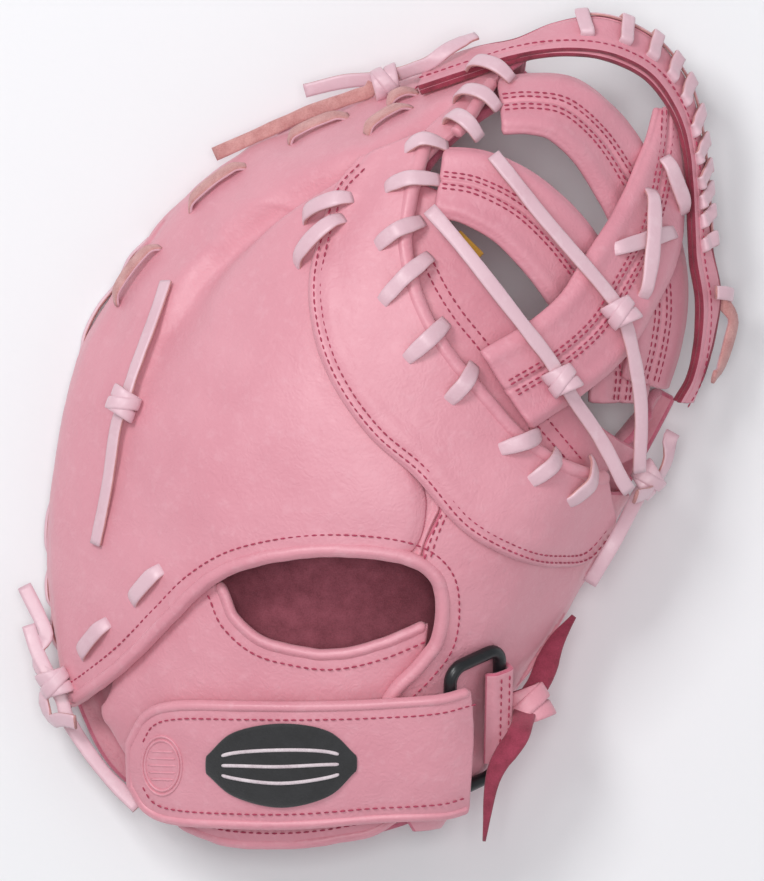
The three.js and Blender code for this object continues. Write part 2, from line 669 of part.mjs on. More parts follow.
// Geometry of a solid without the specks and the very short edges that a cut can leave
const SHORT_EDGE = 0.03;
function fromSolid(manifold) {
  const mesh = manifold.getMesh();
  const count = mesh.vertProperties.length / 3;
  const at = (i) => new THREE.Vector3().fromArray(mesh.vertProperties, 3 * i);
  const bodies = groups(count);
  const welds = groups(count);
  const faces = [];
  for (let k = 0; k < mesh.triVerts.length; k += 3) faces.push([...mesh.triVerts.subarray(k, k + 3)]);
  for (const [a, b, c] of faces) {
    bodies.join(a, b);
    bodies.join(b, c);
    for (const [from, to] of [[a, b], [b, c], [c, a]]) {
      if (at(from).distanceTo(at(to)) < SHORT_EDGE) welds.join(from, to);
    }
  }
  const sizes = new Map();
  for (const [a] of faces) sizes.set(bodies.find(a), (sizes.get(bodies.find(a)) ?? 0) + 1);
  const main = [...sizes].sort((a, b) => b[1] - a[1])[0][0];
  const kept = faces.filter(([a]) => bodies.find(a) === main)
    .map((face) => face.map((v) => welds.find(v)))
    .filter(([a, b, c]) => a !== b && b !== c && c !== a);
  const geometry = new THREE.BufferGeometry();
  geometry.setAttribute("position", new THREE.BufferAttribute(new Float32Array(mesh.vertProperties), 3));
  geometry.setIndex(kept.flat());
  return mergeVertices(geometry.toNonIndexed(), 1e-5);
}

function cut(geometry, tools) {
  return fromSolid(tools.reduce((body, tool) => body.subtract(solid(tool)), solid(geometry)));
}

function join(parts) {
  const [first, ...rest] = parts.map(solid);
  return fromSolid(rest.reduce((body, part) => body.add(part), first));
}

const group = new THREE.Group();

function add(name, geometry, color, rough = 0.6) {
  const bare = geometry.clone();
  bare.computeVertexNormals();
  const material = new THREE.MeshStandardMaterial({ color, roughness: rough, metalness: 0 });
  const mesh = new THREE.Mesh(bare, material);
  mesh.name = name;
  group.add(mesh);
}

const blend = (a, b, f) => a.map((v, i) => v + (b[i] - v) * f);

// Web leathers keep a gentle slope, so that their layers stack upward
const WEB_SLOPE = 0.5;
const WEB_LIFT = 1;

// Finger back with its crease
const FOLD_AT = 3 / 8;
const FOLD_WIDTH = 0.07;
const FOLD_DEPTH = 5;
const FINGER_ALONG = 24;
const fingerRim = column(FINGER_BACK, "rim");
const fingerFold = column(FINGER_BACK, "fold");
const fingerEdge = column(FINGER_BACK, "edge");
const fingerDent = profile(FINGER_BACK, "dent");
const fingerPlan = (u, v) => (v < FOLD_AT
  ? blend(fingerRim(u), fingerFold(u), v / FOLD_AT)
  : blend(fingerFold(u), fingerEdge(u), (v - FOLD_AT) / (1 - FOLD_AT)));
const fingerLift = (u, v) =>
  -FOLD_DEPTH * fingerDent(u) * Math.exp(-(((v - FOLD_AT) / FOLD_WIDTH) ** 2));
const fingerBack = turnedPanel({
  plan: fingerPlan, lift: fingerLift, wall: BACK_WALL, along: FINGER_ALONG, across: 8,
});

// Rolled edges: points along a table's column at a lift
const along = (curve, lift, count, slope) => Array.from({ length: count + 1 }, (_, i) =>
  place(curve(i / count), typeof lift === "function" ? lift(i / count) : lift, slope));

const weltCurve = column(WELT, "at");
const WELT_LIFT = 1.5;
const weltPath = along(weltCurve, WELT_LIFT, 22);
const tipCurve = column(TIP_WELT, "at");
const tipPath = along(tipCurve, WELT_LIFT, 6);
const bindingPath = along(column(HAND_BINDING, "at"), -BACK_WALL / 2, 30);
const weltRoll = (grow) => roll(weltPath, WELT_RADIUS + grow, 20, 5 * grow);
const tipRoll = (grow) => roll(tipPath, TIP_WELT_RADIUS + grow, 8, 5 * grow);
const bindingRoll = (grow) =>
  roll(bindingPath, BINDING_RADIUS + grow, 26, 5 * grow, THIN_ROLL_SIDES);

// Crescent over the thumb side of the back
const seamCurve = column(CRESCENT_SEAM, "at");
const crescent = panel({
  plan: (u, v) => blend(seamCurve(u), weltCurve(u), v),
  lift: () => LAYER,
  wall: BACK_WALL,
  along: 14,
  across: 3,
});

// Thumb base
const baseInner = column(THUMB_BASE, "inner");
const baseRim = column(THUMB_BASE, "rim");
const thumbBase = turnedPanel({
  plan: (u, v) => blend(baseRim(u), baseInner(u), v),
  lift: () => 0,
  wall: BACK_WALL,
  along: 14,
  across: 3,
});

// Lip of the palm leather beside the welt
const LIP_LIFT = WELT_LIFT - WELT_RADIUS - GAP - 0.3;
const LIP_FROM = 0.1;
const LIP_UNDER = 0.1;
const lipEdge = column(PALM_LIP, "edge");
const palmLip = panel({
  plan: (u, v) => {
    const share = v * (1 + LIP_UNDER) - LIP_UNDER;
    return blend(weltCurve(LIP_FROM + (1 - LIP_FROM) * u), lipEdge(u), share);
  },
  lift: () => LIP_LIFT,
  wall: WEB_WALL,
  along: 14,
  across: 2,
});

// Web bands from a table of centre, width and layer
function bandPlan(table) {
  const centre = column(table, "at");
  const wide = profile(table, "wide");
  return (u, v) => {
    const a = centre(Math.max(u - 0.01, 0));
    const b = centre(Math.min(u + 0.01, 1));
    const run = [(b[0] - a[0]) * WIDTH, (b[1] - a[1]) * LENGTH];
    const length = Math.hypot(...run);
    const off = wide(u) * (v - 0.5);
    const at = centre(u);
    return [at[0] - (run[1] / length) * (off / WIDTH), at[1] + (run[0] / length) * (off / LENGTH)];
  };
}
function band(table, count) {
  const layer = profile(table, "layer");
  return panel({
    plan: bandPlan(table), lift: (u) => WEB_LIFT + layer(u) * WEB_LAYER, wall: WEB_WALL,
    along: count, across: 2, slope: WEB_SLOPE,
  });
}

// Arch
const ARCH_WALL = 4.4;
const ARCH_LIFT = WEB_LIFT + 1.4 * WEB_LAYER;
const archOuter = column(WEB_RIM, "outer");
const archInner = column(WEB_RIM, "inner");
const arch = panel({
  plan: (u, v) => blend(archOuter(u), archInner(u), v), lift: () => ARCH_LIFT, wall: ARCH_WALL,
  along: 26, across: 2, slope: WEB_SLOPE,
});

// Palm: flat flange under the rim, then up to the crotch
const PALM_DROP = 14;
const PALM_ALONG = 24;
const palmOuter = column(PALM, "outer");
const palmInner = column(PALM, "inner");
function palmGrid() {
  const grid = [];
  const rims = Array.from({ length: PALM_ALONG + 1 }, (_, i) => place(palmOuter(i / PALM_ALONG)));
  rims.forEach((edge, i) => {
    const top = place(palmInner(i / PALM_ALONG));
    top.z -= PALM_DROP;
    const ahead = rims[Math.min(i + 1, PALM_ALONG)].clone().sub(rims[Math.max(i - 1, 0)]);
    const inward = new THREE.Vector3(-ahead.y, ahead.x, 0).normalize();
    const low = Math.min(rimLow(edge), edge.z - 4) - PALM_GAP;
    const start = edge.clone().addScaledVector(inward, PALM_INSET).setZ(low);
    const reach = start.distanceTo(top.clone().setZ(low));
    const bend = start.clone().addScaledVector(inward, Math.min(FLANGE, reach * 0.3));
    const row = [start];
    for (const { plan, rise } of POCKET) {
      const p = mix(bend, top, plan ** 1.5);
      p.addScaledVector(inward, Math.min(PALM_REACH, reach * 0.6) * plan * (1 - plan));
      p.z = low + (top.z - low) * rise;
      row.push(p);
    }
    grid.push(row);
  });
  return grid;
}

function offsetGrid(grid, by) {
  const rows = grid.length;
  const cols = grid[0].length;
  return grid.map((row, i) => row.map((p, j) => {
    const run = grid[Math.min(i + 1, rows - 1)][j].clone().sub(grid[Math.max(i - 1, 0)][j]);
    const over = grid[i][Math.min(j + 1, cols - 1)].clone().sub(grid[i][Math.max(j - 1, 0)]);
    const normal = new THREE.Vector3().crossVectors(run, over).normalize();
    if (normal.z < 0) normal.negate();
    return p.clone().addScaledVector(normal, by);
  }));
}

const palmTop = palmGrid();
const palmUnder = offsetGrid(palmTop, -PALM_WALL);
// The leather lies flat where it comes close to the floor
const SETTLE = 0.8;
for (const p of palmUnder.flat()) {
  if (p.z < FLOOR + SETTLE) p.z = FLOOR;
}
const palm = shell(palmTop, palmUnder);

// Lining on the palm inside the hand opening
const LINED = [8, 19];
const linedTop = offsetGrid(palmTop, GAP + LINING_WALL).slice(...LINED).map((row) => row.slice(3, 7));
const linedUnder = offsetGrid(palmTop, GAP).slice(...LINED).map((row) => row.slice(3, 7));
const lining = shell(linedTop, linedUnder);

// Wrist pad
const PAD_LIFT = -LAYER - 1.2;
const PAD_WALL = 3.4;
const padTop = column(PAD, "top");
const padHem = column(PAD, "hem");
const pad = panel({
  plan: (u, v) => blend(padTop(u), padHem(u), v),
  lift: () => PAD_LIFT,
  wall: PAD_WALL,
  along: 15,
  across: 3,
});
const PAD_ROLL_FROM = 1 / 3;
const HEM_ROLL_FROM = 0.22;
const padMiddle = PAD_LIFT - PAD_WALL / 2;
const wristPath = along((t) => padTop(PAD_ROLL_FROM + (1 - PAD_ROLL_FROM) * t), padMiddle, 14);
const hemPath = along((t) => padHem(HEM_ROLL_FROM + (1 - HEM_ROLL_FROM) * t), padMiddle, 16);
const thinRoll = (path, steps, grow) =>
  roll(path, THIN_BINDING_RADIUS + grow, steps, 5 * grow, THIN_ROLL_SIDES);
const wristRoll = (grow) => thinRoll(wristPath, 16, grow);
const hemRoll = (grow) => thinRoll(hemPath, 18, grow);

// Strap
const strapTop = column(STRAP, "top");
const strapBottom = column(STRAP, "bottom");
const strapLift = profile(STRAP, "lift");
const strap = panel({
  plan: (u, v) => blend(strapTop(u), strapBottom(u), v), lift: (u) => strapLift(u), wall: STRAP_WALL,
  along: 11, across: 3,
});
const strapEdge = [
  ...Array.from({ length: 11 }, (_, i) => {
    const u = 1 - i / 10;
    return place(strapTop(u), strapLift(u) - STRAP_WALL / 2);
  }),
  ...Array.from({ length: 11 }, (_, i) => {
    const u = i / 10;
    return place(strapBottom(u), strapLift(u) - STRAP_WALL / 2);
  }),
];
const STRAP_ROLL_RADIUS = 2.1;
const strapRoll = (grow) => roll(strapEdge, STRAP_ROLL_RADIUS + grow, 26, 5 * grow, THIN_ROLL_SIDES);
const STRAP_LIFT = STRAP[0].lift;
const badge = panel({
  plan: (u, v) => blend(column(BADGE, "top")(u), column(BADGE, "bottom")(u), v),
  lift: () => STRAP_LIFT + GAP + TRIM_WALL, wall: TRIM_WALL, along: 6, across: 2,
});

// Direction across a lace at a plan point, level with the leather's slope
function acrossAt(at, run, steepest = STEEPEST) {
  const normal = place(at, 1, steepest).sub(place(at, 0, steepest));
  return new THREE.Vector3().crossVectors(normal, run).normalize();
}

// Knots of a lace: plan points with lifts, in steps short enough to follow the leather
const LACE_STEP = 12;
function knots(rows, slope = STEEPEST) {
  const plan = rows.map(({ at, lift, rise = 0 }) => [...at, lift, rise]);
  let length = 0;
  for (let i = 1; i < rows.length; i += 1) {
    const [a, b] = [rows[i - 1].at, rows[i].at];
    length += Math.hypot((b[0] - a[0]) * WIDTH, (b[1] - a[1]) * LENGTH);
  }
  const count = Math.max(Math.round(length / LACE_STEP), rows.length - 1, 3);
  const spot = (f) => {
    const [x, y, lift, rise] = through(plan, f);
    const at = place([x, y], lift, slope);
    at.z += rise;
    return at;
  };
  return Array.from({ length: count + 1 }, (_, i) => {
    const f = i / count;
    const run = spot(Math.min(f + 0.01, 1)).sub(spot(Math.max(f - 0.01, 0)));
    return { at: spot(f), side: acrossAt(through(plan, f).slice(0, 2), run, slope) };
  });
}

// Reach of a lace's bend into its hole
const BEND = 1.7;

// Share along a strand at which it crosses a rolled edge
function crossing(from, to, curve) {
  let best = { near: Infinity, f: 0.5 };
  for (let k = 0; k <= 60; k += 1) {
    const at = curve(k / 60);
    const run = [(to[0] - from[0]) * WIDTH, (to[1] - from[1]) * LENGTH];
    const off = [(at[0] - from[0]) * WIDTH, (at[1] - from[1]) * LENGTH];
    const f = (off[0] * run[0] + off[1] * run[1]) / (run[0] ** 2 + run[1] ** 2);
    const near = Math.hypot(off[0] - run[0] * f, off[1] - run[1] * f);
    if (near < best.near) best = { near, f };
  }
  return Math.min(Math.max(best.f, 0.3), 0.7);
}

// Lace that dives through the leather at both ends of each strand and runs below it in between
function stitched(strands, { over = 0, crown = 0, curve = null, under, slope = STEEPEST }) {
  const list = [];
  for (const { from, to, top = [over, over] } of strands) {
    const run = new THREE.Vector3((to[0] - from[0]) * WIDTH, (to[1] - from[1]) * LENGTH, 0);
    const side = new THREE.Vector3(-run.y, run.x, 0).normalize();
    const spot = (f, lift) => ({ at: place(blend(from, to, f), lift, slope), side: side.clone() });
    const middle = curve ? crossing(from, to, curve) : 0.5;
    const wing = 0.2;
    const peak = curve ? crown : Math.max(...top) + crown;
    const lead = BEND / run.length();
    list.push(spot(0, under), spot(0, under + BEND), spot(lead, top[0]));
    if (curve) list.push(spot(middle - wing, peak - 0.4));
    list.push(spot(middle, peak));
    if (curve) list.push(spot(middle + wing, peak - 0.4));
    list.push(spot(1 - lead, top[1]), spot(1, under + BEND), spot(1, under));
  }
  const each = list.length / strands.length;
  for (let k = each; k < list.length; k += each) {
    const [last, first] = [list[k - 1], list[k]];
    const run = first.at.clone().sub(last.at);
    last.side = new THREE.Vector3(-run.y, run.x, 0).normalize();
    first.side = last.side.clone();
  }
  return list;
}

// Holes for the dives of a stitched lace
function holes(strands, { over = 0, under, slope = STEEPEST }) {
  const list = [];
  for (const { from, to, top = [over, over] } of strands) {
    const run = new THREE.Vector3((to[0] - from[0]) * WIDTH, (to[1] - from[1]) * LENGTH, 0);
    const length = run.length();
    const side = new THREE.Vector3(-run.y, run.x, 0).normalize();
    const half = LACE_WIDTH / 2 + HOLE_GAP;
    const back = LACE_THICK / 2 + HOLE_GAP;
    for (const [end, inward, lift] of [[0, 1, top[0]], [1, -1, top[1]]]) {
      const corners = [];
      for (const height of [under - 0.5, lift + 1.5]) {
        for (const [a, b] of [[-back, -half], [BEND + back, -half], [BEND + back, half], [-back, half]]) {
          const p = place(blend(from, to, end + (inward * a) / length), height, slope);
          corners.push(p.addScaledVector(side, b));
        }
      }
      const faces = [[0, 1, 2], [0, 2, 3], [4, 6, 5], [4, 7, 6]];
      for (let k = 0; k < 4; k += 1) {
        const n = (k + 1) % 4;
        faces.push([k, k + 4, n + 4], [k, n + 4, n]);
      }
      list.push(closed(corners, faces));
    }
  }
  return list;
}
const LACE = { width: LACE_WIDTH, thick: LACE_THICK, steps: 1 };
const REST = GAP + LACE_THICK / 2 + 0.25;

const webRun = {
  crown: WELT_LIFT + WELT_RADIUS + REST + 1, curve: weltCurve, under: LIP_LIFT - WEB_WALL - 3,
};
const webStrands = WEB_LOOPS.map((row) => ({ ...row, top: [LAYER + REST, WEB_LIFT + REST] }));
const webLace = thong(stitched(webStrands, webRun), LACE);
const webGrown = thong(stitched(webStrands, webRun), { ...LACE, grow: GAP });
const webHoles = [...holes(webStrands, webRun), webGrown];


// Single strands that lie on the leather between two holes: lifts at both ends, and the crown
function strands(table, tops, slope = STEEPEST) {
  return table.map(({ from, to }, k) => {
    const [start, end, crown] = tops[k] ?? tops[0];
    const rows = [0, 0.2, 0.5, 0.8, 1].map((f) => ({
      at: blend(from, to, f), lift: start + (end - start) * f + REST + crown * 4 * f * (1 - f),
    }));
    return thong(knots(rows, slope), LACE);
  });
}
const POST_TOP = WEB_LIFT + WEB_LAYER;
const RIM_SEATS = [
  [0.1, 0.1, 1.1], [0.1, 0.1, 1.1], [0.1, 0.1, 1.1], [-0.5, -0.5, 1.5], [-0.8, -0.8, 1.7],
];
const rimStrands = strands(RIM_STRANDS, RIM_SEATS);
const TIP_SEATS = [[0.1, 2.4, 4.8], [-0.6, 2.2, 5], [5.7, 4.2, 3.4]];
const tipStrands = strands(TIP_LOOPS, TIP_SEATS);
const slotStrands = strands(SLOT, [[0.3, 0.3, 0.8]]);
const veeStrands = strands(VEE, [[0, LAYER + 0.2, 3.4], [LAYER + 0.2, 0, 3.4]]);
const crossStrands = strands(CROSS, [
  [POST_TOP - 0.6, POST_TOP, 0.8], [POST_TOP, POST_TOP, 0.6], [POST_TOP + 0.4, POST_TOP + 0.4, 3.6],
], WEB_SLOPE);

// Lace round the arch's outer edge: a strip on the edge with loops over it
const ARCH_HOLE = 0.52;
const ARCH_LACE_WIDTH = 5.4;
const BRIM = GAP + LACE_THICK / 2 + 0.3;
const archOut = (t, out, lift) => {
  const a = place(archOuter(t - 0.004), lift, WEB_SLOPE);
  const b = place(archOuter(t + 0.004), lift, WEB_SLOPE);
  const outward = new THREE.Vector3(a.y - b.y, b.x - a.x, 0).normalize();
  return mix(a, b, 0.5).addScaledVector(outward, out);
};
const archLoops = ARCH_LOOPS.map((t) => {
  const [hole, middle] = [ARCH_HOLE, ARCH_HOLE / 2].map((share) =>
    place(blend(archOuter(t), archInner(t), share), ARCH_LIFT + REST + 1.1, WEB_SLOPE));
  const rim = archOut(t, 1.5, ARCH_LIFT + REST + 1);
  const over = acrossAt(archOuter(t), rim.clone().sub(hole), WEB_SLOPE);
  const edge = archOut(t + 0.004, 0, ARCH_LIFT).sub(archOut(t - 0.004, 0, ARCH_LIFT)).normalize();
  const low = archOut(t, BRIM + 1, ARCH_LIFT - ARCH_WALL - 1.2);
  const under = archOut(t, -2.4, ARCH_LIFT - ARCH_WALL - REST - 2);
  const path = [[hole, over], [middle, over], [rim, edge], [low, edge], [under, edge]];
  return thong(path.map(([at, side]) => ({ at, side })), { ...LACE, width: ARCH_LACE_WIDTH });
});
const STRIP_WIDTH = 3;
const STRIP_THICK = 1.2;
const edgeSpan = ARCH_LOOPS[ARCH_LOOPS.length - 1] - ARCH_LOOPS[0];
const archStrip = thong(Array.from({ length: 15 }, (_, k) => ({
  at: archOut(ARCH_LOOPS[0] + (edgeSpan * k) / 14, BRIM + 0.6, ARCH_LIFT - ARCH_WALL / 2),
  side: new THREE.Vector3(0, 0, 1),
})), { width: STRIP_WIDTH, thick: STRIP_THICK, steps: 1 });
const archLace = join([archStrip, ...archLoops]);

// Lace outside the laced rim seam, bulging out between its stitches
const SEAM_WIDTH = 4.4;
const SEAM_Z = 3;
const seamKnots = SEAM_LACE.map(([u, out]) => {
  const a = place(fingerRim(u - 0.004));
  const b = place(fingerRim(u + 0.004));
  const outward = new THREE.Vector3(b.y - a.y, a.x - b.x, 0).normalize();
  const middle = new THREE.Vector3((RIM_CENTRE[0] - 0.5) * WIDTH, (RIM_CENTRE[1] - 0.5) * LENGTH, 0);
  if (outward.dot(a.clone().sub(middle)) < 0) outward.negate();
  const at = mix(a, b, 0.5).addScaledVector(outward, out);
  at.z = rimLow(at) - PALM_GAP - PALM_WALL + SEAM_Z;
  return { at, side: new THREE.Vector3(0, 0, 1) };
});
const seamLace = thong(seamKnots, { width: SEAM_WIDTH, thick: LACE_THICK, steps: 1 });

// Knot: a wrap round its strands, which run on into the tails
const WRAP_WIDTH = 5.8;
const WRAP_SIDES = 9;
function tied({
  strands: lines, middle, lift, size = 4.4, height = 3.4, turn = 0, ends = [1, 1], width = TAIL_WIDTH,
  slope = STEEPEST, rise = 0,
}) {
  const shape = { width, thick: LACE_THICK, steps: 1, ends };
  const parts = lines.map((rows) => thong(knots(rows, slope), shape));
  const angle = (turn * Math.PI) / 180;
  const run = new THREE.Vector3(Math.cos(angle), Math.sin(angle), 0);
  const across = new THREE.Vector3(-run.y, run.x, 0);
  const centre = place(middle, lift + GAP + height + LACE_THICK / 2, slope);
  centre.z += rise;
  const wrap = Array.from({ length: WRAP_SIDES }, (_, k) => {
    const a = (2 * Math.PI * k) / WRAP_SIDES;
    const up = new THREE.Vector3(0, 0, height * Math.sin(a));
    return { at: centre.clone().addScaledVector(across, size * Math.cos(a)).add(up), side: run };
  });
  parts.push(thong(wrap, { width: WRAP_WIDTH, thick: LACE_THICK, steps: 1, ring: true }));
  return join(parts);
}
const tail = (...rows) => rows.map(([x, y, lift, rise = 0]) => ({ at: [x, y], lift, rise }));

// Knots with their tails: shares of the plan and lifts in millimetres, from tip to tip
const KNOTS = {
  finger_knot: {
    middle: [0.127, 0.537], lift: 0, turn: -110,
    strands: [
      tail(
        [0.180, 0.685, 1.5], [0.165, 0.642, 2.2], [0.141, 0.579, 3.5], [0.127, 0.537, 4.4],
        [0.112, 0.507, 3.5], [0.096, 0.441, 2.0], [0.077, 0.369, 1.6],
      ),
    ],
  },
  heel_knot: {
    middle: [0.009, 0.197], lift: 6, turn: -60,
    strands: [
      tail(
        [-0.031, 0.269, 5], [-0.018, 0.237, 7], [0.000, 0.207, 9.8], [0.019, 0.177, 8.4],
        [0.031, 0.147, 7], [0.078, 0.093, 5], [0.134, 0.046, 5],
      ),
      tail(
        [-0.038, 0.317, 3], [-0.013, 0.276, 5.5], [0.007, 0.237, 8], [0.012, 0.197, 11.8],
        [0.031, 0.173, 11.2], [0.069, 0.163, 10],
      ),
    ],
  },
  top_knot: {
    middle: [0.501, 0.935], lift: 2, turn: 25, height: 3.8, rise: 9,
    strands: [
      tail(
        [0.381, 0.923, 4], [0.442, 0.936, 5], [0.501, 0.942, 7, 5], [0.567, 0.954, 4, 19.2],
        [0.648, 0.974, 5, 14],
      ),
      tail(
        [0.246, 0.845, 4.5], [0.361, 0.888, 5, 1.5], [0.434, 0.911, 5.5, 5], [0.490, 0.925, 6.5, 4],
        [0.529, 0.921, 5],
      ),
    ],
  },
  web_knot_upper: {
    middle: [0.829, 0.649], lift: 5.2, turn: -50, slope: WEB_SLOPE,
    strands: [
      tail(
        [0.654, 0.829, 6], [0.736, 0.742, 7], [0.803, 0.678, 8.5], [0.829, 0.649, 9.7],
        [0.847, 0.609, 9.5], [0.862, 0.543, 9], [0.860, 0.469, 10],
      ),
    ],
  },
  web_knot_lower: {
    middle: [0.742, 0.569], lift: 5.2, turn: -52, slope: WEB_SLOPE,
    strands: [
      tail(
        [0.568, 0.761, 12], [0.641, 0.680, 11], [0.714, 0.603, 10], [0.742, 0.569, 9.8],
        [0.767, 0.537, 9], [0.803, 0.495, 9], [0.834, 0.454, 16],
      ),
    ],
  },
  thumb_knot: {
    middle: [0.891, 0.442], lift: 4, turn: 45,
    strands: [
      tail(
        [0.847, 0.439, 9], [0.876, 0.450, 8.6], [0.897, 0.469, 7], [0.929, 0.499, 6],
      ),
      tail(
        [0.891, 0.440, 6.6], [0.876, 0.425, 6.5, 3], [0.841, 0.375, 7.5, 10], [0.803, 0.323, 7, 8],
      ),
    ],
  },
  wrist_tie: {
    middle: [0.710, 0.175], lift: -3.4, turn: -60, size: 5.5, height: 4.2, width: 9,
    ends: [0.25, 0.15], rise: 12,
    strands: [
      tail(
        [0.781, 0.282, 3, 1], [0.753, 0.249, 3, 3], [0.732, 0.207, 3, 6], [0.710, 0.175, 2, 15],
        [0.697, 0.141, 2, 27], [0.661, 0.093, 2, 24], [0.647, 0.012, 2, 13],
      ),
    ],
  },
};

const archTail = thong(knots(tail(
  [0.965, 0.673, 9.2], [0.982, 0.672, 10.2], [1.006, 0.667, 7.5], [0.997, 0.645, 9],
  [0.982, 0.603, 9], [0.965, 0.582, 9],
)), { width: TAIL_WIDTH, thick: LACE_THICK, steps: 1 });
// Closing ring: rounded frame of plastic, lying on the thumb base
const ringSpot = (x, y) => place([RING_AT[0] + x / WIDTH, RING_AT[1] + y / LENGTH], RING_LIFT);
const ringUp = ringSpot(0, RING_LENGTH / 3).sub(ringSpot(0, -RING_LENGTH / 3)).normalize();
const ringRight = ringSpot(RING_WIDTH / 3, 0).sub(ringSpot(-RING_WIDTH / 3, 0));
ringRight.addScaledVector(ringUp, -ringUp.dot(ringRight)).normalize();
const ringSlope = new THREE.Vector3().crossVectors(ringRight, ringUp);
const ringCentre = ringSpot(0, 0);
ringUp.applyAxisAngle(ringRight, (RING_TILT[0] * Math.PI) / 180);
ringRight.applyAxisAngle(ringUp, (-RING_TILT[1] * Math.PI) / 180);
ringSlope.crossVectors(ringRight, ringUp);
function ringPath() {
  const [w, h] = [RING_WIDTH / 2, RING_LENGTH / 2];
  const corners = [[w, h, 0], [-w, h, 1], [-w, -h, 2], [w, -h, 3]];
  return corners.flatMap(([x, y, quarter]) => [0, 1, 2].map((k) => {
    const a = ((quarter + k / 2) * Math.PI) / 2;
    const cx = x - Math.sign(x) * RING_CORNER + RING_CORNER * Math.cos(a);
    const cy = y - Math.sign(y) * RING_CORNER + RING_CORNER * Math.sin(a);
    const at = ringCentre.clone().addScaledVector(ringRight, cx).addScaledVector(ringUp, cy);
    return { at, side: ringSlope };
  }));
}
const ring = thong(ringPath(), { width: RING_WIRE, thick: RING_WIRE, steps: 1, ring: true });
// Leather loop over the ring's right bar, in the ring's own frame: across, and above its plane
const ringPoint = (x, y, up) => ringCentre.clone().addScaledVector(ringRight, x)
  .addScaledVector(ringUp, y).addScaledVector(ringSlope, up);
const loopRows = (out) => LOOP_PATH.map(([x, up], i) => {
  const before = LOOP_PATH[Math.max(i - 1, 0)];
  const after = LOOP_PATH[Math.min(i + 1, LOOP_PATH.length - 1)];
  const run = new THREE.Vector2(after[0] - before[0], after[1] - before[1]).normalize();
  const [dx, dy] = [run.y * out, -run.x * out];
  return [-0.5, 0.5].map((y) => ringPoint(RING_WIDTH / 2 + x - dx, y * LOOP_WIDTH, up - dy));
});
const ringLoop = shell(loopRows(-LOOP_WALL / 2), loopRows(LOOP_WALL / 2));

// Small tab below the lower web band
const tab = panel({
  plan: (u, v) => blend(TAB[0], TAB[1], u).map((c, i) => c + (v - 0.5) * TAB[2][i]),
  lift: () => LIP_LIFT - WEB_WALL - GAP - 0.6, wall: TRIM_WALL, along: 4, across: 3, slope: WEB_SLOPE,
});

const fingerCut = cut(fingerBack, [
  bindingRoll(GAP), tipRoll(GAP), weltRoll(GAP), ...webHoles,
]);
add("finger_back", fingerCut, PINK);
add("thumb_back", cut(crescent, [weltRoll(GAP), ...webHoles]), PINK);
add("thumb_base", cut(thumbBase, [bindingRoll(GAP), ...webHoles]), PINK);
add("web_welt", cut(weltRoll(0), webHoles.slice(-1)), PINK);
add("tip_welt", tipRoll(0), PINK);
add("opening_binding", bindingRoll(0), PINK);
add("palm_lip", cut(palmLip, webHoles), PINK);
add("web_bar_upper", band(BAR_UPPER, 14), PINK);
add("web_bar_lower", cut(band(BAR_LOWER, 13), webHoles), PINK);
add("web_post", band(POST, 13), PINK);
add("web_rim", arch, PINK);
add("palm", palm, PINK);
add("hand_lining", lining, LINING_PINK, 0.9);
add("wrist_pad", cut(pad, [wristRoll(GAP), hemRoll(GAP)]), PINK);
add("wrist_binding", wristRoll(0), PINK);
add("hem_binding", hemRoll(0), PINK);
add("wrist_strap", cut(strap, [strapRoll(GAP)]), PINK);
add("strap_binding", strapRoll(0), PINK);
add("strap_badge", badge, BLACK, 0.5);
add("web_lace", webLace, LACE_PINK);

add("arch_lace", archLace, LACE_PINK);
const numbered = {
  tip_lace: tipStrands,
  rim_lace: rimStrands,
  slot_lace: slotStrands,
  vee_lace: veeStrands,
  cross_lace: crossStrands,
};
for (const [name, list] of Object.entries(numbered)) {
  list.forEach((piece, k) => add(`${name}_${k + 1}`, piece, LACE_PINK));
}
add("seam_lace", seamLace, LACE_PINK);
for (const [name, knot] of Object.entries(KNOTS)) {
  add(name, tied(knot), name === "wrist_tie" ? DEEP_PINK : LACE_PINK);
}
add("arch_tail", archTail, LACE_PINK);
add("strap_ring", ring, BLACK, 0.35);
add("ring_loop", ringLoop, PINK);
add("crotch_tab", tab, MUSTARD);

// The whole stands on the floor with its middle above the origin
group.updateMatrixWorld(true);
const whole = new THREE.Box3().setFromObject(group);
const centre = whole.getCenter(new THREE.Vector3());
for (const mesh of group.children) mesh.geometry.translate(-centre.x, -centre.y, -whole.min.z);

export default group;
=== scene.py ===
"""Left-hand first base mitt of pink leather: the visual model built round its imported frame."""

import logging
import math
from dataclasses import dataclass, field
from enum import Enum
from typing import Callable, ClassVar, Optional, Sequence

import bpy
import numpy as np
from mathutils import Matrix, Vector, noise


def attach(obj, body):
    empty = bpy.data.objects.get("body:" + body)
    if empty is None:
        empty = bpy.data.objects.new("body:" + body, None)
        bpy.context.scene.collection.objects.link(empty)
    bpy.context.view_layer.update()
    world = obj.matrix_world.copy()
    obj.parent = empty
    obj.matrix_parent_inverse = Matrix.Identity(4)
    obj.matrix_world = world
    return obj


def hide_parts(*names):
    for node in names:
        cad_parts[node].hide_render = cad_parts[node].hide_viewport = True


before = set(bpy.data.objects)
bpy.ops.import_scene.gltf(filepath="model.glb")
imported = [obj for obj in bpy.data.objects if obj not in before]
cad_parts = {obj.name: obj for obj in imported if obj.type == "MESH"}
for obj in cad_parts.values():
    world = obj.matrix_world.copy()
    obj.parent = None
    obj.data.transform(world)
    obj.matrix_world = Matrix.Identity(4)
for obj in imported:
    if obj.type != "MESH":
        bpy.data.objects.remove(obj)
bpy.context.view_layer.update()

log = logging.getLogger("mitt")
Curve = Callable[[np.ndarray], np.ndarray]

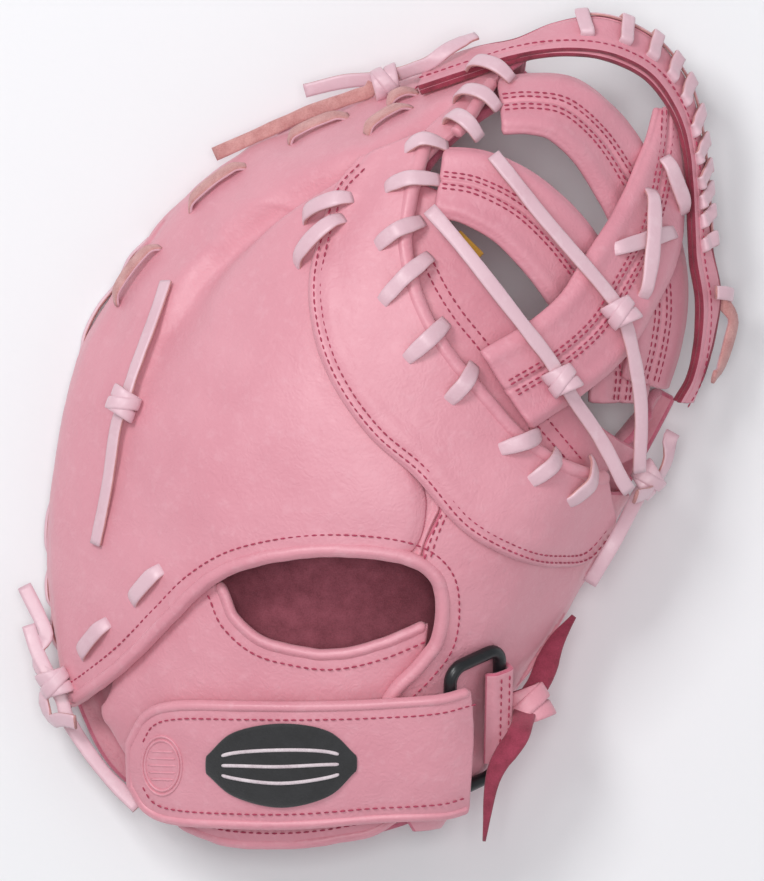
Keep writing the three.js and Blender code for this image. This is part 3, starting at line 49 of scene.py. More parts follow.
# Sizes of the source, in millimetres
MM = 0.001
WIDTH = 265.0
LENGTH = 325.0
HEIGHT = 105.0
SHIFT = np.array([2.0965, -3.3349, 0.0])
BACK_WALL = 2.6
WEB_WALL = 3.0
STRAP_WALL = 2.6
LACE_WIDTH = 6.4
LACE_THICK = 1.7
TAIL_WIDTH = 5.6
LAYER = 3.7
WEB_LAYER = 3.5
WEB_LIFT = 1.0
WEB_SLOPE = 0.5
STEEPEST = 1.2
SLOPE_STEP = 0.006
RIM_CENTRE = (0.45, 0.45)
RIM_MIDDLE = np.array([(RIM_CENTRE[0] - 0.5) * WIDTH, (RIM_CENTRE[1] - 0.5) * LENGTH, 0.0])
RIM_BULGE = 0.9
RIM_TUCK = 2.0
RIM_MIN_DROP = 4.0
PALM_WALL = 4.2
PALM_GAP = 0.7
WELT_LIFT = 1.5
WELT_RADIUS = 3.3
LIP_LIFT = -2.4
ARCH_LIFT = WEB_LIFT + 1.4 * WEB_LAYER
PAD_LIFT = -LAYER - 1.2
PAD_WALL = 3.4

SECTIONS = (  # y, left, right, heights
    (1.01, 0.766, 0.876, 0.32, 0.34, 0.36, 0.38, 0.39, 0.39, 0.37, 0.35, 0.33),
    (0.952, 0.582, 0.923, 0.23, 0.3, 0.4, 0.5, 0.55, 0.52, 0.44, 0.36, 0.3),
    (0.904, 0.442, 0.954, 0.18, 0.29, 0.45, 0.63, 0.74, 0.68, 0.51, 0.36, 0.27),
    (0.844, 0.281, 0.966, 0.14, 0.29, 0.5, 0.74, 0.87, 0.78, 0.57, 0.36, 0.25),
    (0.784, 0.191, 0.973, 0.13, 0.3, 0.53, 0.8, 0.93, 0.84, 0.61, 0.34, 0.22),
    (0.663, 0.082, 0.996, 0.13, 0.31, 0.55, 0.86, 0.99, 0.89, 0.65, 0.34, 0.19),
    (0.543, 0.025, 0.95, 0.14, 0.32, 0.59, 0.89, 1.01, 0.93, 0.7, 0.4, 0.23),
    (0.423, 0.003, 0.859, 0.15, 0.32, 0.57, 0.86, 0.99, 0.97, 0.84, 0.53, 0.32),
    (0.303, 0.003, 0.779, 0.16, 0.32, 0.55, 0.78, 0.9, 0.91, 0.78, 0.51, 0.32),
    (0.183, 0.024, 0.688, 0.19, 0.32, 0.5, 0.67, 0.76, 0.78, 0.69, 0.48, 0.32),
    (0.087, 0.099, 0.649, 0.27, 0.36, 0.48, 0.59, 0.66, 0.66, 0.59, 0.46, 0.34),
    (-0.01, 0.214, 0.538, 0.36, 0.4, 0.46, 0.5, 0.53, 0.52, 0.5, 0.43, 0.38),
)
RIM_LOW = (  # turn, low
    (0, 4.4), (9, 4.2), (15, 7), (27, 14), (54, 18), (67, 16), (83, 12), (100, 9), (125, 7), (155, 4.6),
    (175, 4.2), (200, 4.2), (218, 7), (234, 14), (250, 4.2), (266, 4.2), (277, 12), (292, 12), (312, 8),
    (338, 6), (360, 4.4),
)
FINGER_BACK = (  # rim, fold, edge, dent
    (0.708, 0.957, 0.691, 0.947, 0.67, 0.935, 0),
    (0.652, 0.958, 0.651, 0.935, 0.648, 0.911, 0),
    (0.596, 0.947, 0.614, 0.911, 0.629, 0.882, 0.1),
    (0.545, 0.935, 0.564, 0.877, 0.585, 0.849, 0.5),
    (0.486, 0.921, 0.517, 0.841, 0.538, 0.81, 1),
    (0.42, 0.9, 0.446, 0.819, 0.482, 0.784, 1),
    (0.353, 0.875, 0.395, 0.798, 0.452, 0.754, 1),
    (0.287, 0.844, 0.349, 0.779, 0.434, 0.709, 1),
    (0.228, 0.808, 0.305, 0.755, 0.426, 0.663, 1),
    (0.174, 0.767, 0.261, 0.724, 0.434, 0.609, 0.95),
    (0.122, 0.714, 0.225, 0.692, 0.461, 0.555, 0.85),
    (0.078, 0.657, 0.199, 0.649, 0.505, 0.51, 0.6),
    (0.046, 0.601, 0.169, 0.609, 0.543, 0.469, 0.35),
    (0.024, 0.529, 0.143, 0.537, 0.57, 0.417, 0.15),
    (0.007, 0.447, 0.11, 0.45, 0.541, 0.356, 0),
    (0, 0.363, 0.088, 0.365, 0.42, 0.363, 0),
    (0.003, 0.297, 0.071, 0.303, 0.302, 0.35, 0),
    (0.013, 0.243, 0.054, 0.255, 0.214, 0.308, 0),
    (0.021, 0.207, 0.043, 0.216, 0.118, 0.231, 0),
    (0.027, 0.175, 0.034, 0.179, 0.043, 0.186, 0),
)
CRESCENT_SEAM = (  # at
    (0.464, 0.825), (0.429, 0.791), (0.401, 0.72), (0.393, 0.663), (0.405, 0.603), (0.434, 0.548),
    (0.482, 0.495), (0.545, 0.45), (0.613, 0.388), (0.698, 0.352), (0.753, 0.346), (0.798, 0.352),
    (0.838, 0.387),
)
THUMB_BASE = (  # inner, rim
    (0.591, 0.44, 0.862, 0.428), (0.579, 0.401, 0.835, 0.387), (0.558, 0.361, 0.811, 0.344),
    (0.579, 0.327, 0.788, 0.315), (0.586, 0.291, 0.764, 0.279), (0.576, 0.252, 0.744, 0.249),
    (0.549, 0.221, 0.722, 0.221), (0.52, 0.197, 0.697, 0.195), (0.508, 0.171, 0.679, 0.168),
    (0.508, 0.129, 0.673, 0.129), (0.515, 0.087, 0.652, 0.093), (0.529, 0.05, 0.614, 0.062),
    (0.546, 0.024, 0.582, 0.026),
)
WELT = (  # at
    (0.564, 0.856), (0.546, 0.808), (0.533, 0.762), (0.53, 0.718), (0.542, 0.672), (0.563, 0.63),
    (0.594, 0.591), (0.641, 0.546), (0.688, 0.502), (0.736, 0.471), (0.781, 0.456), (0.82, 0.45),
)
TIP_WELT = (  # at
    (0.605, 0.856), (0.622, 0.873), (0.638, 0.894), (0.66, 0.921),
)
PALM_LIP = (  # edge
    (0.588, 0.788), (0.599, 0.738), (0.644, 0.697), (0.685, 0.654), (0.723, 0.609), (0.761, 0.561),
    (0.806, 0.522), (0.85, 0.493), (0.888, 0.476),
)
BAR_UPPER = (  # at, wide, layer
    (0.673, 0.897, 22, 0), (0.717, 0.899, 24, 0), (0.766, 0.892, 26, -0.1), (0.817, 0.862, 26, -0.7),
    (0.859, 0.82, 26, -1.3), (0.891, 0.769, 25, -1.3), (0.912, 0.709, 24, -1.3),
    (0.918, 0.657, 22, -1.3), (0.912, 0.609, 20, -1.3), (0.898, 0.561, 18, -1.3),
)
BAR_LOWER = (  # at, wide, layer
    (0.583, 0.803, 27, 0), (0.633, 0.796, 29, 0), (0.692, 0.772, 30, 0), (0.744, 0.736, 31, -0.4),
    (0.788, 0.697, 31, -1.2), (0.826, 0.657, 30, -2.4), (0.854, 0.615, 28, -2.4),
    (0.865, 0.573, 25, -2.4), (0.862, 0.537, 22, -2.4),
)
POST = (  # at, wide, layer
    (0.675, 0.555, 35, 1), (0.744, 0.591, 34, 1), (0.803, 0.633, 34, 1), (0.842, 0.683, 33, 1),
    (0.876, 0.73, 31, 0.9), (0.897, 0.778, 25, 0.6), (0.91, 0.82, 19, 0.2), (0.919, 0.858, 13, -0.1),
    (0.922, 0.894, 8, -0.2),
)
WEB_RIM = (  # outer, inner
    (0.57, 0.945, 0.558, 0.913), (0.641, 0.964, 0.626, 0.931), (0.7, 0.972, 0.7, 0.95),
    (0.758, 0.992, 0.758, 0.957), (0.82, 0.998, 0.82, 0.953), (0.884, 0.977, 0.873, 0.935),
    (0.923, 0.947, 0.909, 0.907), (0.951, 0.904, 0.935, 0.868), (0.965, 0.844, 0.947, 0.814),
    (0.972, 0.784, 0.95, 0.76), (0.978, 0.724, 0.953, 0.709), (0.991, 0.675, 0.962, 0.663),
    (0.982, 0.627, 0.96, 0.618), (0.968, 0.585, 0.95, 0.577), (0.953, 0.548, 0.929, 0.546),
)
PALM = (  # outer, inner
    (0.708, 0.952, 0.677, 0.913), (0.567, 0.94, 0.579, 0.85), (0.405, 0.895, 0.545, 0.796),
    (0.25, 0.822, 0.533, 0.745), (0.11, 0.7, 0.535, 0.694), (0.031, 0.549, 0.552, 0.645),
    (0.001, 0.387, 0.573, 0.615), (0.019, 0.219, 0.592, 0.591), (0.11, 0.075, 0.611, 0.572),
    (0.339, 0.008, 0.632, 0.553), (0.515, 0.017, 0.652, 0.535), (0.635, 0.081, 0.676, 0.513),
    (0.714, 0.212, 0.705, 0.492), (0.803, 0.333, 0.744, 0.47), (0.873, 0.442, 0.791, 0.457),
    (0.912, 0.5, 0.85, 0.481), (0.938, 0.541, 0.894, 0.519),
)
POCKET = (  # plan, rise
    (0, 0), (0.05, 0.12), (0.16, 0.33), (0.35, 0.55), (0.6, 0.74), (0.8, 0.88), (1, 1),
)
HAND_BINDING = (  # at
    (0.028, 0.175), (0.078, 0.204), (0.125, 0.236), (0.177, 0.279), (0.228, 0.32), (0.287, 0.347),
    (0.376, 0.362), (0.464, 0.363), (0.538, 0.353), (0.576, 0.331), (0.586, 0.297), (0.579, 0.255),
    (0.552, 0.224), (0.523, 0.2), (0.505, 0.18),
)
PAD = (  # top, hem
    (0.066, 0.168, 0.078, 0.142), (0.14, 0.226, 0.11, 0.096), (0.208, 0.276, 0.14, 0.055),
    (0.244, 0.317, 0.172, 0.026), (0.27, 0.279, 0.237, 0.007), (0.311, 0.25, 0.309, 0.001),
    (0.364, 0.237, 0.376, 0.002), (0.423, 0.232, 0.434, 0.007), (0.493, 0.243, 0.49, 0.017),
    (0.567, 0.266, 0.532, 0.036),
)
STRAP = (  # top, bottom, lift
    (0.13, 0.132, 0.13, 0.084, 4), (0.155, 0.166, 0.155, 0.053, 4), (0.199, 0.179, 0.199, 0.04, 4),
    (0.287, 0.18, 0.287, 0.037, 4), (0.376, 0.18, 0.376, 0.038, 4), (0.479, 0.184, 0.479, 0.047, 5),
    (0.561, 0.197, 0.561, 0.06, 11), (0.602, 0.209, 0.598, 0.07, 12.2),
)
BADGE = (  # top, bottom
    (0.246, 0.123, 0.246, 0.101), (0.284, 0.15, 0.284, 0.075), (0.351, 0.161, 0.351, 0.062),
    (0.417, 0.153, 0.417, 0.076), (0.457, 0.125, 0.457, 0.106),
)
WEB_LOOPS = (  # from, to
    (0.532, 0.835, 0.591, 0.845), (0.504, 0.79, 0.579, 0.804), (0.49, 0.721, 0.555, 0.755),
    (0.496, 0.655, 0.566, 0.713), (0.53, 0.589, 0.589, 0.635), (0.589, 0.54, 0.63, 0.584),
    (0.661, 0.483, 0.726, 0.502), (0.705, 0.444, 0.754, 0.481), (0.758, 0.421, 0.806, 0.472),
)
TIP_LOOPS = (  # from, to
    (0.591, 0.877, 0.638, 0.853), (0.605, 0.906, 0.666, 0.889), (0.632, 0.933, 0.688, 0.921),
)
RIM_STRANDS = (  # from, to
    (0.546, 0.916, 0.505, 0.9), (0.535, 0.897, 0.473, 0.865), (0.442, 0.888, 0.358, 0.858),
    (0.289, 0.829, 0.208, 0.778), (0.158, 0.732, 0.096, 0.666),
)
VEE = (  # from, to
    (0.381, 0.758, 0.455, 0.78), (0.443, 0.755, 0.371, 0.704),
)
SLOT = (  # from, to
    (0.172, 0.341, 0.128, 0.3), (0.09, 0.275, 0.049, 0.233),
)
CROSS = (  # from, to
    (0.91, 0.834, 0.938, 0.769), (0.922, 0.743, 0.829, 0.721), (0.885, 0.792, 0.872, 0.667),
)
# Soft folds of the finger back, with reach and depth of each in millimetres
FINGER_FOLDS = (
    ((0.2253, 0.7356), (0.1782, 0.72), (0.134, 0.6971), (0.106, 0.6695), (0.0884, 0.6286)),
    ((0.2872, 0.8077), (0.2607, 0.7837), (0.2283, 0.7572)),
    ((0.1546, 0.5192), (0.2135, 0.5433), (0.2872, 0.5373)),
    ((0.0957, 0.4591), (0.1399, 0.399), (0.2135, 0.369)),
    ((0.3019, 0.6635), (0.2813, 0.6034), (0.2754, 0.5312), (0.2946, 0.4591)),
)
FOLD_SIZES = ((7.0, 1.8), (5.0, 0.7), (12.0, 0.7), (11.0, 0.8), (16.0, 0.9))
# Fold across the crescent's upper end
CRESCENT_FOLD = ((0.5081, 0.8137), (0.4757, 0.7933), (0.4492, 0.7656), (0.4286, 0.7428), (0.4197, 0.7236),)
# Seam between finger back and thumb base
THUMB_SEAM = ((0.5773, 0.4111), (0.567, 0.3942), (0.5567, 0.3738), (0.5493, 0.3546),)
# Short row of stitches at the web's left end
DART = ((0.5479, 0.9207), (0.5582, 0.9303), (0.57, 0.9399), (0.5803, 0.9483),)
# Rows of stitches on the palm's lip
LIP_STITCHES = (
    ((0.5596, 0.6995), (0.5788, 0.6695), (0.6053, 0.637), (0.6392, 0.6034), (0.6848, 0.5529),
     (0.7349, 0.5048), (0.7806, 0.4639)),
    ((0.5729, 0.7043), (0.5906, 0.6767), (0.6141, 0.6478), (0.6465, 0.6154), (0.6937, 0.5673),
     (0.7437, 0.5192), (0.7923, 0.4736)),
)
# Row of stitches across the strap
STRAP_CROSS = ((0.5125, 0.1731), (0.5125, 0.1382), (0.511, 0.1034), (0.5096, 0.0685),)
# Middle and half sizes of the embossed oval
OVAL = ((0.1797, 0.1082), (0.0287, 0.0355))
ARCH_LOOPS = (0.259, 0.316, 0.37, 0.428, 0.474, 0.522, 0.56, 0.596, 0.63, 0.662, 0.7)
# Seam lace: share along the rim and how far it stands out in millimetres
SEAM_LACE = (
    (0.5, 0.2), (0.525, 1.6), (0.55, 0.2), (0.58, 1.8), (0.61, 1.8), (0.635, 0.2), (0.7, 0.2), (0.745, 0.2),
    (0.765, 1.9), (0.785, 1.9), (0.8, 0.2), (0.82, 1.9), (0.838, 1.9), (0.85, 0.2), (0.868, 1.9),
    (0.885, 1.9), (0.9, 0.2),
)
TAB = ((0.599, 0.736), (0.635, 0.709), (0.03, 0.02))
ARCH_TAIL = (
    (0.965, 0.673, 9.2), (0.982, 0.672, 10.2), (1.006, 0.667, 7.5), (0.997, 0.645, 9), (0.982, 0.603, 9),
    (0.965, 0.582, 9),
)
# Knots with their tails: plan x, plan y, lift and rise of each point, from tip to tip
KNOTS = {
    "finger_knot": {
        "middle": (0.127, 0.537), "lift": 0, "turn": -110,
        "strands": [
            (
                (0.180, 0.685, 1.5), (0.165, 0.642, 2.2), (0.141, 0.579, 3.5), (0.127, 0.537, 4.4),
                (0.112, 0.507, 3.5), (0.096, 0.441, 2.0), (0.077, 0.369, 1.6),
            ),
        ],
    },
    "heel_knot": {
        "middle": (0.009, 0.197), "lift": 6, "turn": -60,
        "strands": [
            (
                (-0.031, 0.269, 5), (-0.018, 0.237, 7), (0.000, 0.207, 9.8), (0.019, 0.177, 8.4),
                (0.031, 0.147, 7), (0.078, 0.093, 5), (0.134, 0.046, 5),
            ),
            (
                (-0.038, 0.317, 3), (-0.013, 0.276, 5.5), (0.007, 0.237, 8), (0.012, 0.197, 11.8),
                (0.031, 0.173, 11.2), (0.069, 0.163, 10),
            ),
        ],
    },
    "top_knot": {
        "middle": (0.501, 0.935), "lift": 2, "turn": 25, "height": 3.8, "rise": 9,
        "strands": [
            (
                (0.381, 0.923, 4), (0.442, 0.936, 5), (0.501, 0.942, 7, 5), (0.567, 0.954, 4, 19.2),
                (0.648, 0.974, 5, 14),
            ),
            (
                (0.246, 0.845, 4.5), (0.361, 0.888, 5, 1.5), (0.434, 0.911, 5.5, 5), (0.490, 0.925, 6.5, 4),
                (0.529, 0.921, 5),
            ),
        ],
    },
    "web_knot_upper": {
        "middle": (0.829, 0.649), "lift": 5.2, "turn": -50, "slope": WEB_SLOPE,
        "strands": [
            (
                (0.654, 0.829, 6), (0.736, 0.742, 7), (0.803, 0.678, 8.5), (0.829, 0.649, 9.7),
                (0.847, 0.609, 9.5), (0.862, 0.543, 9), (0.860, 0.469, 10),
            ),
        ],
    },
    "web_knot_lower": {
        "middle": (0.742, 0.569), "lift": 5.2, "turn": -52, "slope": WEB_SLOPE,
        "strands": [
            (
                (0.568, 0.761, 12), (0.641, 0.680, 11), (0.714, 0.603, 10), (0.742, 0.569, 9.8),
                (0.767, 0.537, 9), (0.803, 0.495, 9), (0.834, 0.454, 16),
            ),
        ],
    },
    "thumb_knot": {
        "middle": (0.891, 0.442), "lift": 4, "turn": 45,
        "strands": [
            (
                (0.847, 0.439, 9), (0.876, 0.450, 8.6), (0.897, 0.469, 7), (0.929, 0.499, 6),
            ),
            (
                (0.891, 0.440, 6.6), (0.876, 0.425, 6.5, 3), (0.841, 0.375, 7.5, 10), (0.803, 0.323, 7, 8),
            ),
        ],
    },
    "wrist_tie": {
        "middle": (0.710, 0.175), "lift": -3.4, "turn": -60, "size": 5.5, "height": 4.2, "width": 9,
        "ends": (0.25, 0.15), "rise": 12,
        "strands": [
            (
                (0.781, 0.282, 3, 1), (0.753, 0.249, 3, 3), (0.732, 0.207, 3, 6), (0.710, 0.175, 2, 15),
                (0.697, 0.141, 2, 27), (0.661, 0.093, 2, 24), (0.647, 0.012, 2, 13),
            ),
        ],
    },
}


def spline(rows: np.ndarray, t: np.ndarray) -> np.ndarray:
    """Interpolates evenly spaced rows smoothly.

    Args:
        rows: Numbers in rows, shape (n, c).
        t: Shares from 0 to 1, shape (m,).

    Returns:
        Interpolated rows, shape (m, c).
    """
    rows = np.asarray(rows, float)
    last = len(rows) - 1
    padded = np.vstack([2 * rows[:1] - rows[1:2], rows, 2 * rows[-1:] - rows[-2:-1]])
    at = np.clip(np.asarray(t, float), 0, 1) * last
    i = np.minimum(np.floor(at).astype(int), last - 1)
    f = (at - i)[:, None]
    a, p, q, b = (padded[i + k] for k in range(4))
    return p + 0.5 * f * (q - a + f * (2 * a - 5 * p + 4 * q - b + f * (3 * (p - q) + b - a)))


def column(table: Sequence[Sequence[float]], first: int, count: int = 2) -> Curve:
    """Makes one column of a table a smooth curve.

    Args:
        table: Rows of numbers.
        first: Index of the column's first number.
        count: How many numbers the column has.

    Returns:
        Function from shares to points.
    """
    rows = np.array([row[first:first + count] for row in table], float)
    return lambda t: spline(rows, np.atleast_1d(t))


SECTION_ROWS = np.array(SECTIONS, float)


def height_at(at: np.ndarray) -> np.ndarray:
    """Gives the height of the mitt's back.

    Args:
        at: Plan points as shares, shape (n, 2).

    Returns:
        Heights in millimetres, shape (n,).
    """
    x, y = at[:, 0], at[:, 1]
    ys = SECTION_ROWS[:, 0]
    last = len(ys) - 1
    i = np.clip(np.searchsorted(-ys, -y, side="left") - 1, 0, last - 1)
    f = np.clip((ys[i] - y) / (ys[i] - ys[i + 1]), 0, 1)
    rows = spline(SECTION_ROWS[:, 1:], (i + f) / last)
    across = np.clip((x - rows[:, 0]) / (rows[:, 1] - rows[:, 0]), 0, 1)
    turned = np.arccos(1 - 2 * across) / math.pi * 8
    heights = rows[:, 2:]
    padded = np.hstack([2 * heights[:, :1] - heights[:, 1:2], heights,
                        2 * heights[:, -1:] - heights[:, -2:-1]])
    k = np.minimum(np.floor(turned).astype(int), 7)
    g = turned - k
    n = np.arange(len(x))
    a, p, q, b = (padded[n, k + j] for j in range(4))
    value = p + 0.5 * g * (q - a + g * (2 * a - 5 * p + 4 * q - b + g * (3 * (p - q) + b - a)))
    return HEIGHT * value


def place(at: np.ndarray, lift: np.ndarray | float = 0.0, steepest: float = STEEPEST) -> np.ndarray:
    """Puts plan points on the back, lifted along its slope's normal.

    Args:
        at: Plan points as shares, shape (n, 2).
        lift: Millimetres above the back.
        steepest: Limit of the slope used for the normal.

    Returns:
        Points in millimetres, shape (n, 3).
    """
    step = SLOPE_STEP
    dx, dy = np.array([step, 0]), np.array([0, step])
    sx = np.clip((height_at(at + dx) - height_at(at - dx)) / (2 * step * WIDTH), -steepest, steepest)
    sy = np.clip((height_at(at + dy) - height_at(at - dy)) / (2 * step * LENGTH), -steepest, steepest)
    normal = np.stack([-sx, -sy, np.ones(len(at))], 1)
    normal /= np.linalg.norm(normal, axis=1, keepdims=True)
    base = np.stack([(at[:, 0] - 0.5) * WIDTH, (at[:, 1] - 0.5) * LENGTH, height_at(at)], 1)
    return base + normal * np.broadcast_to(np.asarray(lift, float), (len(at),))[:, None]


def rim_low(points: np.ndarray) -> np.ndarray:
    """Gives the height at which the back's leather ends at the rim.

    Args:
        points: Points in millimetres, shape (n, 3).

    Returns:
        Heights in millimetres, shape (n,).
    """
    rows = np.array(RIM_LOW, float)
    off = points[:, :2] - np.array(RIM_CENTRE) * [WIDTH, LENGTH]
    turn = np.degrees(np.arctan2(off[:, 1], off[:, 0])) % 360
    i = np.clip(np.searchsorted(rows[:, 0], turn, side="right") - 1, 0, len(rows) - 1)
    j = np.minimum(i + 1, len(rows) - 1)
    f = (turn - rows[i, 0]) / np.maximum(rows[j, 0] - rows[i, 0], 1)
    return rows[i, 1] + (rows[j, 1] - rows[i, 1]) * f * f * (3 - 2 * f)


def unit(v: np.ndarray) -> np.ndarray:
    """Scales vectors in the last axis to length one."""
    return v / np.maximum(np.linalg.norm(v, axis=-1, keepdims=True), 1e-9)


def grid_normals(grid: np.ndarray) -> np.ndarray:
    """Gives the upward normals of a grid of points, shape (r, c, 3)."""
    along = np.gradient(grid, axis=0)
    across = np.gradient(grid, axis=1)
    normal = unit(np.cross(along, across))
    if normal[..., 2].mean() < 0:
        normal = -normal
    return normal


def refine(grid: np.ndarray, rows: int, cols: int) -> np.ndarray:
    """Resamples a coarse grid of points smoothly to rows by cols points."""
    r, c, _ = grid.shape
    dense = spline(grid.reshape(r, -1), np.linspace(0, 1, rows)).reshape(rows, c, 3)
    turned = dense.transpose(1, 0, 2).reshape(c, -1)
    return spline(turned, np.linspace(0, 1, cols)).reshape(cols, rows, 3).transpose(1, 0, 2)


def rumple(grid: np.ndarray, amount: float, size: float, seed: float) -> np.ndarray:
    """Adds the soft unevenness of worked leather.

    Args:
        grid: Points in millimetres, shape (r, c, 3).
        amount: Greatest rise in millimetres.
        size: Width of the largest waves in millimetres.
        seed: Offset into the noise field.

    Returns:
        Displaced grid.
    """
    flat = grid.reshape(-1, 3)
    offset = Vector((seed, seed * 1.7, seed * 0.3))
    wave = np.array([
        noise.noise(Vector(p) / size + offset) + 0.5 * noise.noise(Vector(p) / (size * 0.42) + offset)
        for p in flat
    ])
    return grid + grid_normals(grid) * (amount * wave).reshape(grid.shape[:2])[..., None]


def to_mesh(name: str, points: np.ndarray, faces: Sequence[Sequence[int]], materials: Sequence,
            index: Optional[Sequence[int]] = None, smooth: bool = True) -> bpy.types.Object:
    """Makes an object from points in millimetres.

    Args:
        name: Piece name.
        points: Points in the source's millimetres, shape (n, 3).
        faces: Corner indices of each face.
        materials: Materials in slot order.
        index: Material slot of each face.
        smooth: Whether faces are shaded smooth.

    Returns:
        Object at the origin with its place in its vertices.
    """
    mesh = bpy.data.meshes.new(name)
    mesh.from_pydata(((points + SHIFT) * MM).tolist(), [], [list(f) for f in faces])
    for material in materials:
        mesh.materials.append(material)
    if index is not None:
        mesh.polygons.foreach_set("material_index", np.asarray(index, np.int32))
    mesh.polygons.foreach_set("use_smooth", np.full(len(mesh.polygons), smooth))
    mesh.update()
    obj = bpy.data.objects.new(name, mesh)
    bpy.context.scene.collection.objects.link(obj)
    return obj


def outward(name: str, points: np.ndarray, faces: np.ndarray) -> np.ndarray:
    """Turns the faces of a closed quad mesh outward.

    Args:
        name: Piece name for the log.
        points: Points, shape (n, 3).
        faces: Quads, shape (m, 4).

    Returns:
        The faces, all reversed if the volume was negative.
    """
    p = points - points.mean(0)
    a, b, c, d = (p[faces[:, k]] for k in range(4))
    volume = (np.einsum("ij,ij->i", a, np.cross(b, c)) + np.einsum("ij,ij->i", a, np.cross(c, d))).sum() / 6
    log.debug("%s volume %.0f", name, volume)
    return faces[:, ::-1] if volume < 0 else faces


@dataclass
class Sheet:
    """A leather sheet with a wall and softly rounded edges."""

    name: str
    grid: np.ndarray
    wall: float
    material: bpy.types.Material
    edge: Optional[bpy.types.Material] = None
    round_by: float = 0.35
    floor: Optional[float] = None

    def build(self) -> bpy.types.Object:
        """Builds the closed sheet: top, underside and a rounded border."""
        top = self.grid
        normal = grid_normals(top)
        under = top - normal * self.wall
        if self.floor is not None:
            under[..., 2] = np.where(under[..., 2] < self.floor + 0.8, self.floor, under[..., 2])
        r, c, _ = top.shape
        border = ([(i, 0) for i in range(r - 1)] + [(r - 1, j) for j in range(c - 1)]
                  + [(i, c - 1) for i in range(r - 1, 0, -1)] + [(0, j) for j in range(c - 1, 0, -1)])
        ring_top = np.array([top[i, j] for i, j in border])
        ring_under = np.array([under[i, j] for i, j in border])
        tangent = unit(np.roll(ring_top, -1, 0) - np.roll(ring_top, 1, 0))
        up = unit(ring_top - ring_under)
        out = unit(np.cross(tangent, up))
        inner = np.array([top[min(max(i, 1), r - 2), min(max(j, 1), c - 2)] for i, j in border])
        if np.einsum("ij,ij->i", out, ring_top - inner).mean() < 0:
            out = -out
        bulge = self.wall * self.round_by
        rings = [ring_top - up * self.wall * 0.2 + out * bulge * 0.7,
                 (ring_top + ring_under) / 2 + out * bulge,
                 ring_under + up * self.wall * 0.2 + out * bulge * 0.7]
        points = np.vstack([top.reshape(-1, 3), under.reshape(-1, 3), *rings])
        quads = []
        n = r * c
        for side in (0, 1):
            base = np.arange(n).reshape(r, c) + side * n
            q = np.stack([base[:-1, :-1], base[1:, :-1], base[1:, 1:], base[:-1, 1:]], -1).reshape(-1, 4)
            quads.append(q if side else q[:, ::-1])
        m = len(border)
        ids = np.array([i * c + j for i, j in border])
        loops = [ids, *(2 * n + k * m + np.arange(m) for k in range(3)), n + ids]
        rim = []
        for a, b in zip(loops[:-1], loops[1:]):
            rim.append(np.stack([a, np.roll(a, -1), np.roll(b, -1), b], -1))
        rim = np.vstack(rim)
        a, b, d = points[rim[:, 0]], points[rim[:, 1]], points[rim[:, 3]]
        facing = np.einsum("ij,ij->i", np.cross(b - a, d - a), np.tile(out, (4, 1))).mean()
        if facing < 0:
            rim = rim[:, ::-1]
        q0 = quads[0]
        a, b, d = points[q0[:, 0]], points[q0[:, 1]], points[q0[:, 3]]
        if np.einsum("ij,ij->i", np.cross(b - a, d - a),
                     normal[:-1, :-1].reshape(-1, 3)).mean() < 0:
            quads = [q[:, ::-1] for q in quads]
        faces = np.vstack([*quads, rim])
        index = np.zeros(len(faces), int)
        if self.edge:
            index[-len(rim):] = 1
        return to_mesh(self.name, points, faces, [self.material, *([self.edge] if self.edge else [])], index)


def tube(name: str, path: np.ndarray, radius: float, material: bpy.types.Material,
         sides: int = 16, flat: float = 1.0, closed: bool = False, seam: float = 0.0) -> bpy.types.Object:
    """Sweeps a round roll along a path.

    Args:
        name: Piece name.
        path: Points in millimetres, shape (n, 3).
        radius: Roll radius in millimetres.
        material: Finish.
        sides: Corners round the section.
        flat: Height share of the section.
        closed: Whether the path is a loop.
        seam: Depth of a fold line on the roll's side, as a share of the radius.

    Returns:
        The roll.
    """
    n = len(path)
    if closed:
        run = unit(np.roll(path, -1, 0) - np.roll(path, 1, 0))
    else:
        run = unit(np.gradient(path, axis=0))
    side = unit(np.cross(run, np.array([0.0, 0.0, 1.0])))
    up = np.cross(side, run)
    turn = 2 * math.pi * np.arange(sides) / sides
    reach = radius * (1 - seam * np.exp(-((np.abs(turn - math.pi / 4)) / 0.22) ** 2))
    taper = np.ones(n)
    if not closed:
        ends = np.minimum(np.arange(n), n - 1 - np.arange(n))
        taper = np.where(ends == 0, 0.55, np.where(ends == 1, 0.88, 1.0))
    ring = (side[:, None] * (reach * np.cos(turn))[None, :, None]
            + up[:, None] * (flat * reach * np.sin(turn))[None, :, None]) * taper[:, None, None]
    points = (path[:, None] + ring).reshape(-1, 3)
    base = np.arange(n * sides).reshape(n, sides)
    nxt = np.roll(base, -1, 1)
    rows = range(n) if closed else range(n - 1)
    quads = np.vstack([np.stack([base[i], nxt[i], nxt[(i + 1) % n], base[(i + 1) % n]], -1) for i in rows])
    faces = [list(f) for f in outward(name, points, quads)]
    if not closed:
        flipped = faces[0][0] != quads[0][0]
        caps = [list(base[0]), list(base[-1][::-1])]
        if not flipped:
            caps = [cap[::-1] for cap in caps]
        faces += caps
    return to_mesh(name, points, faces, [material])


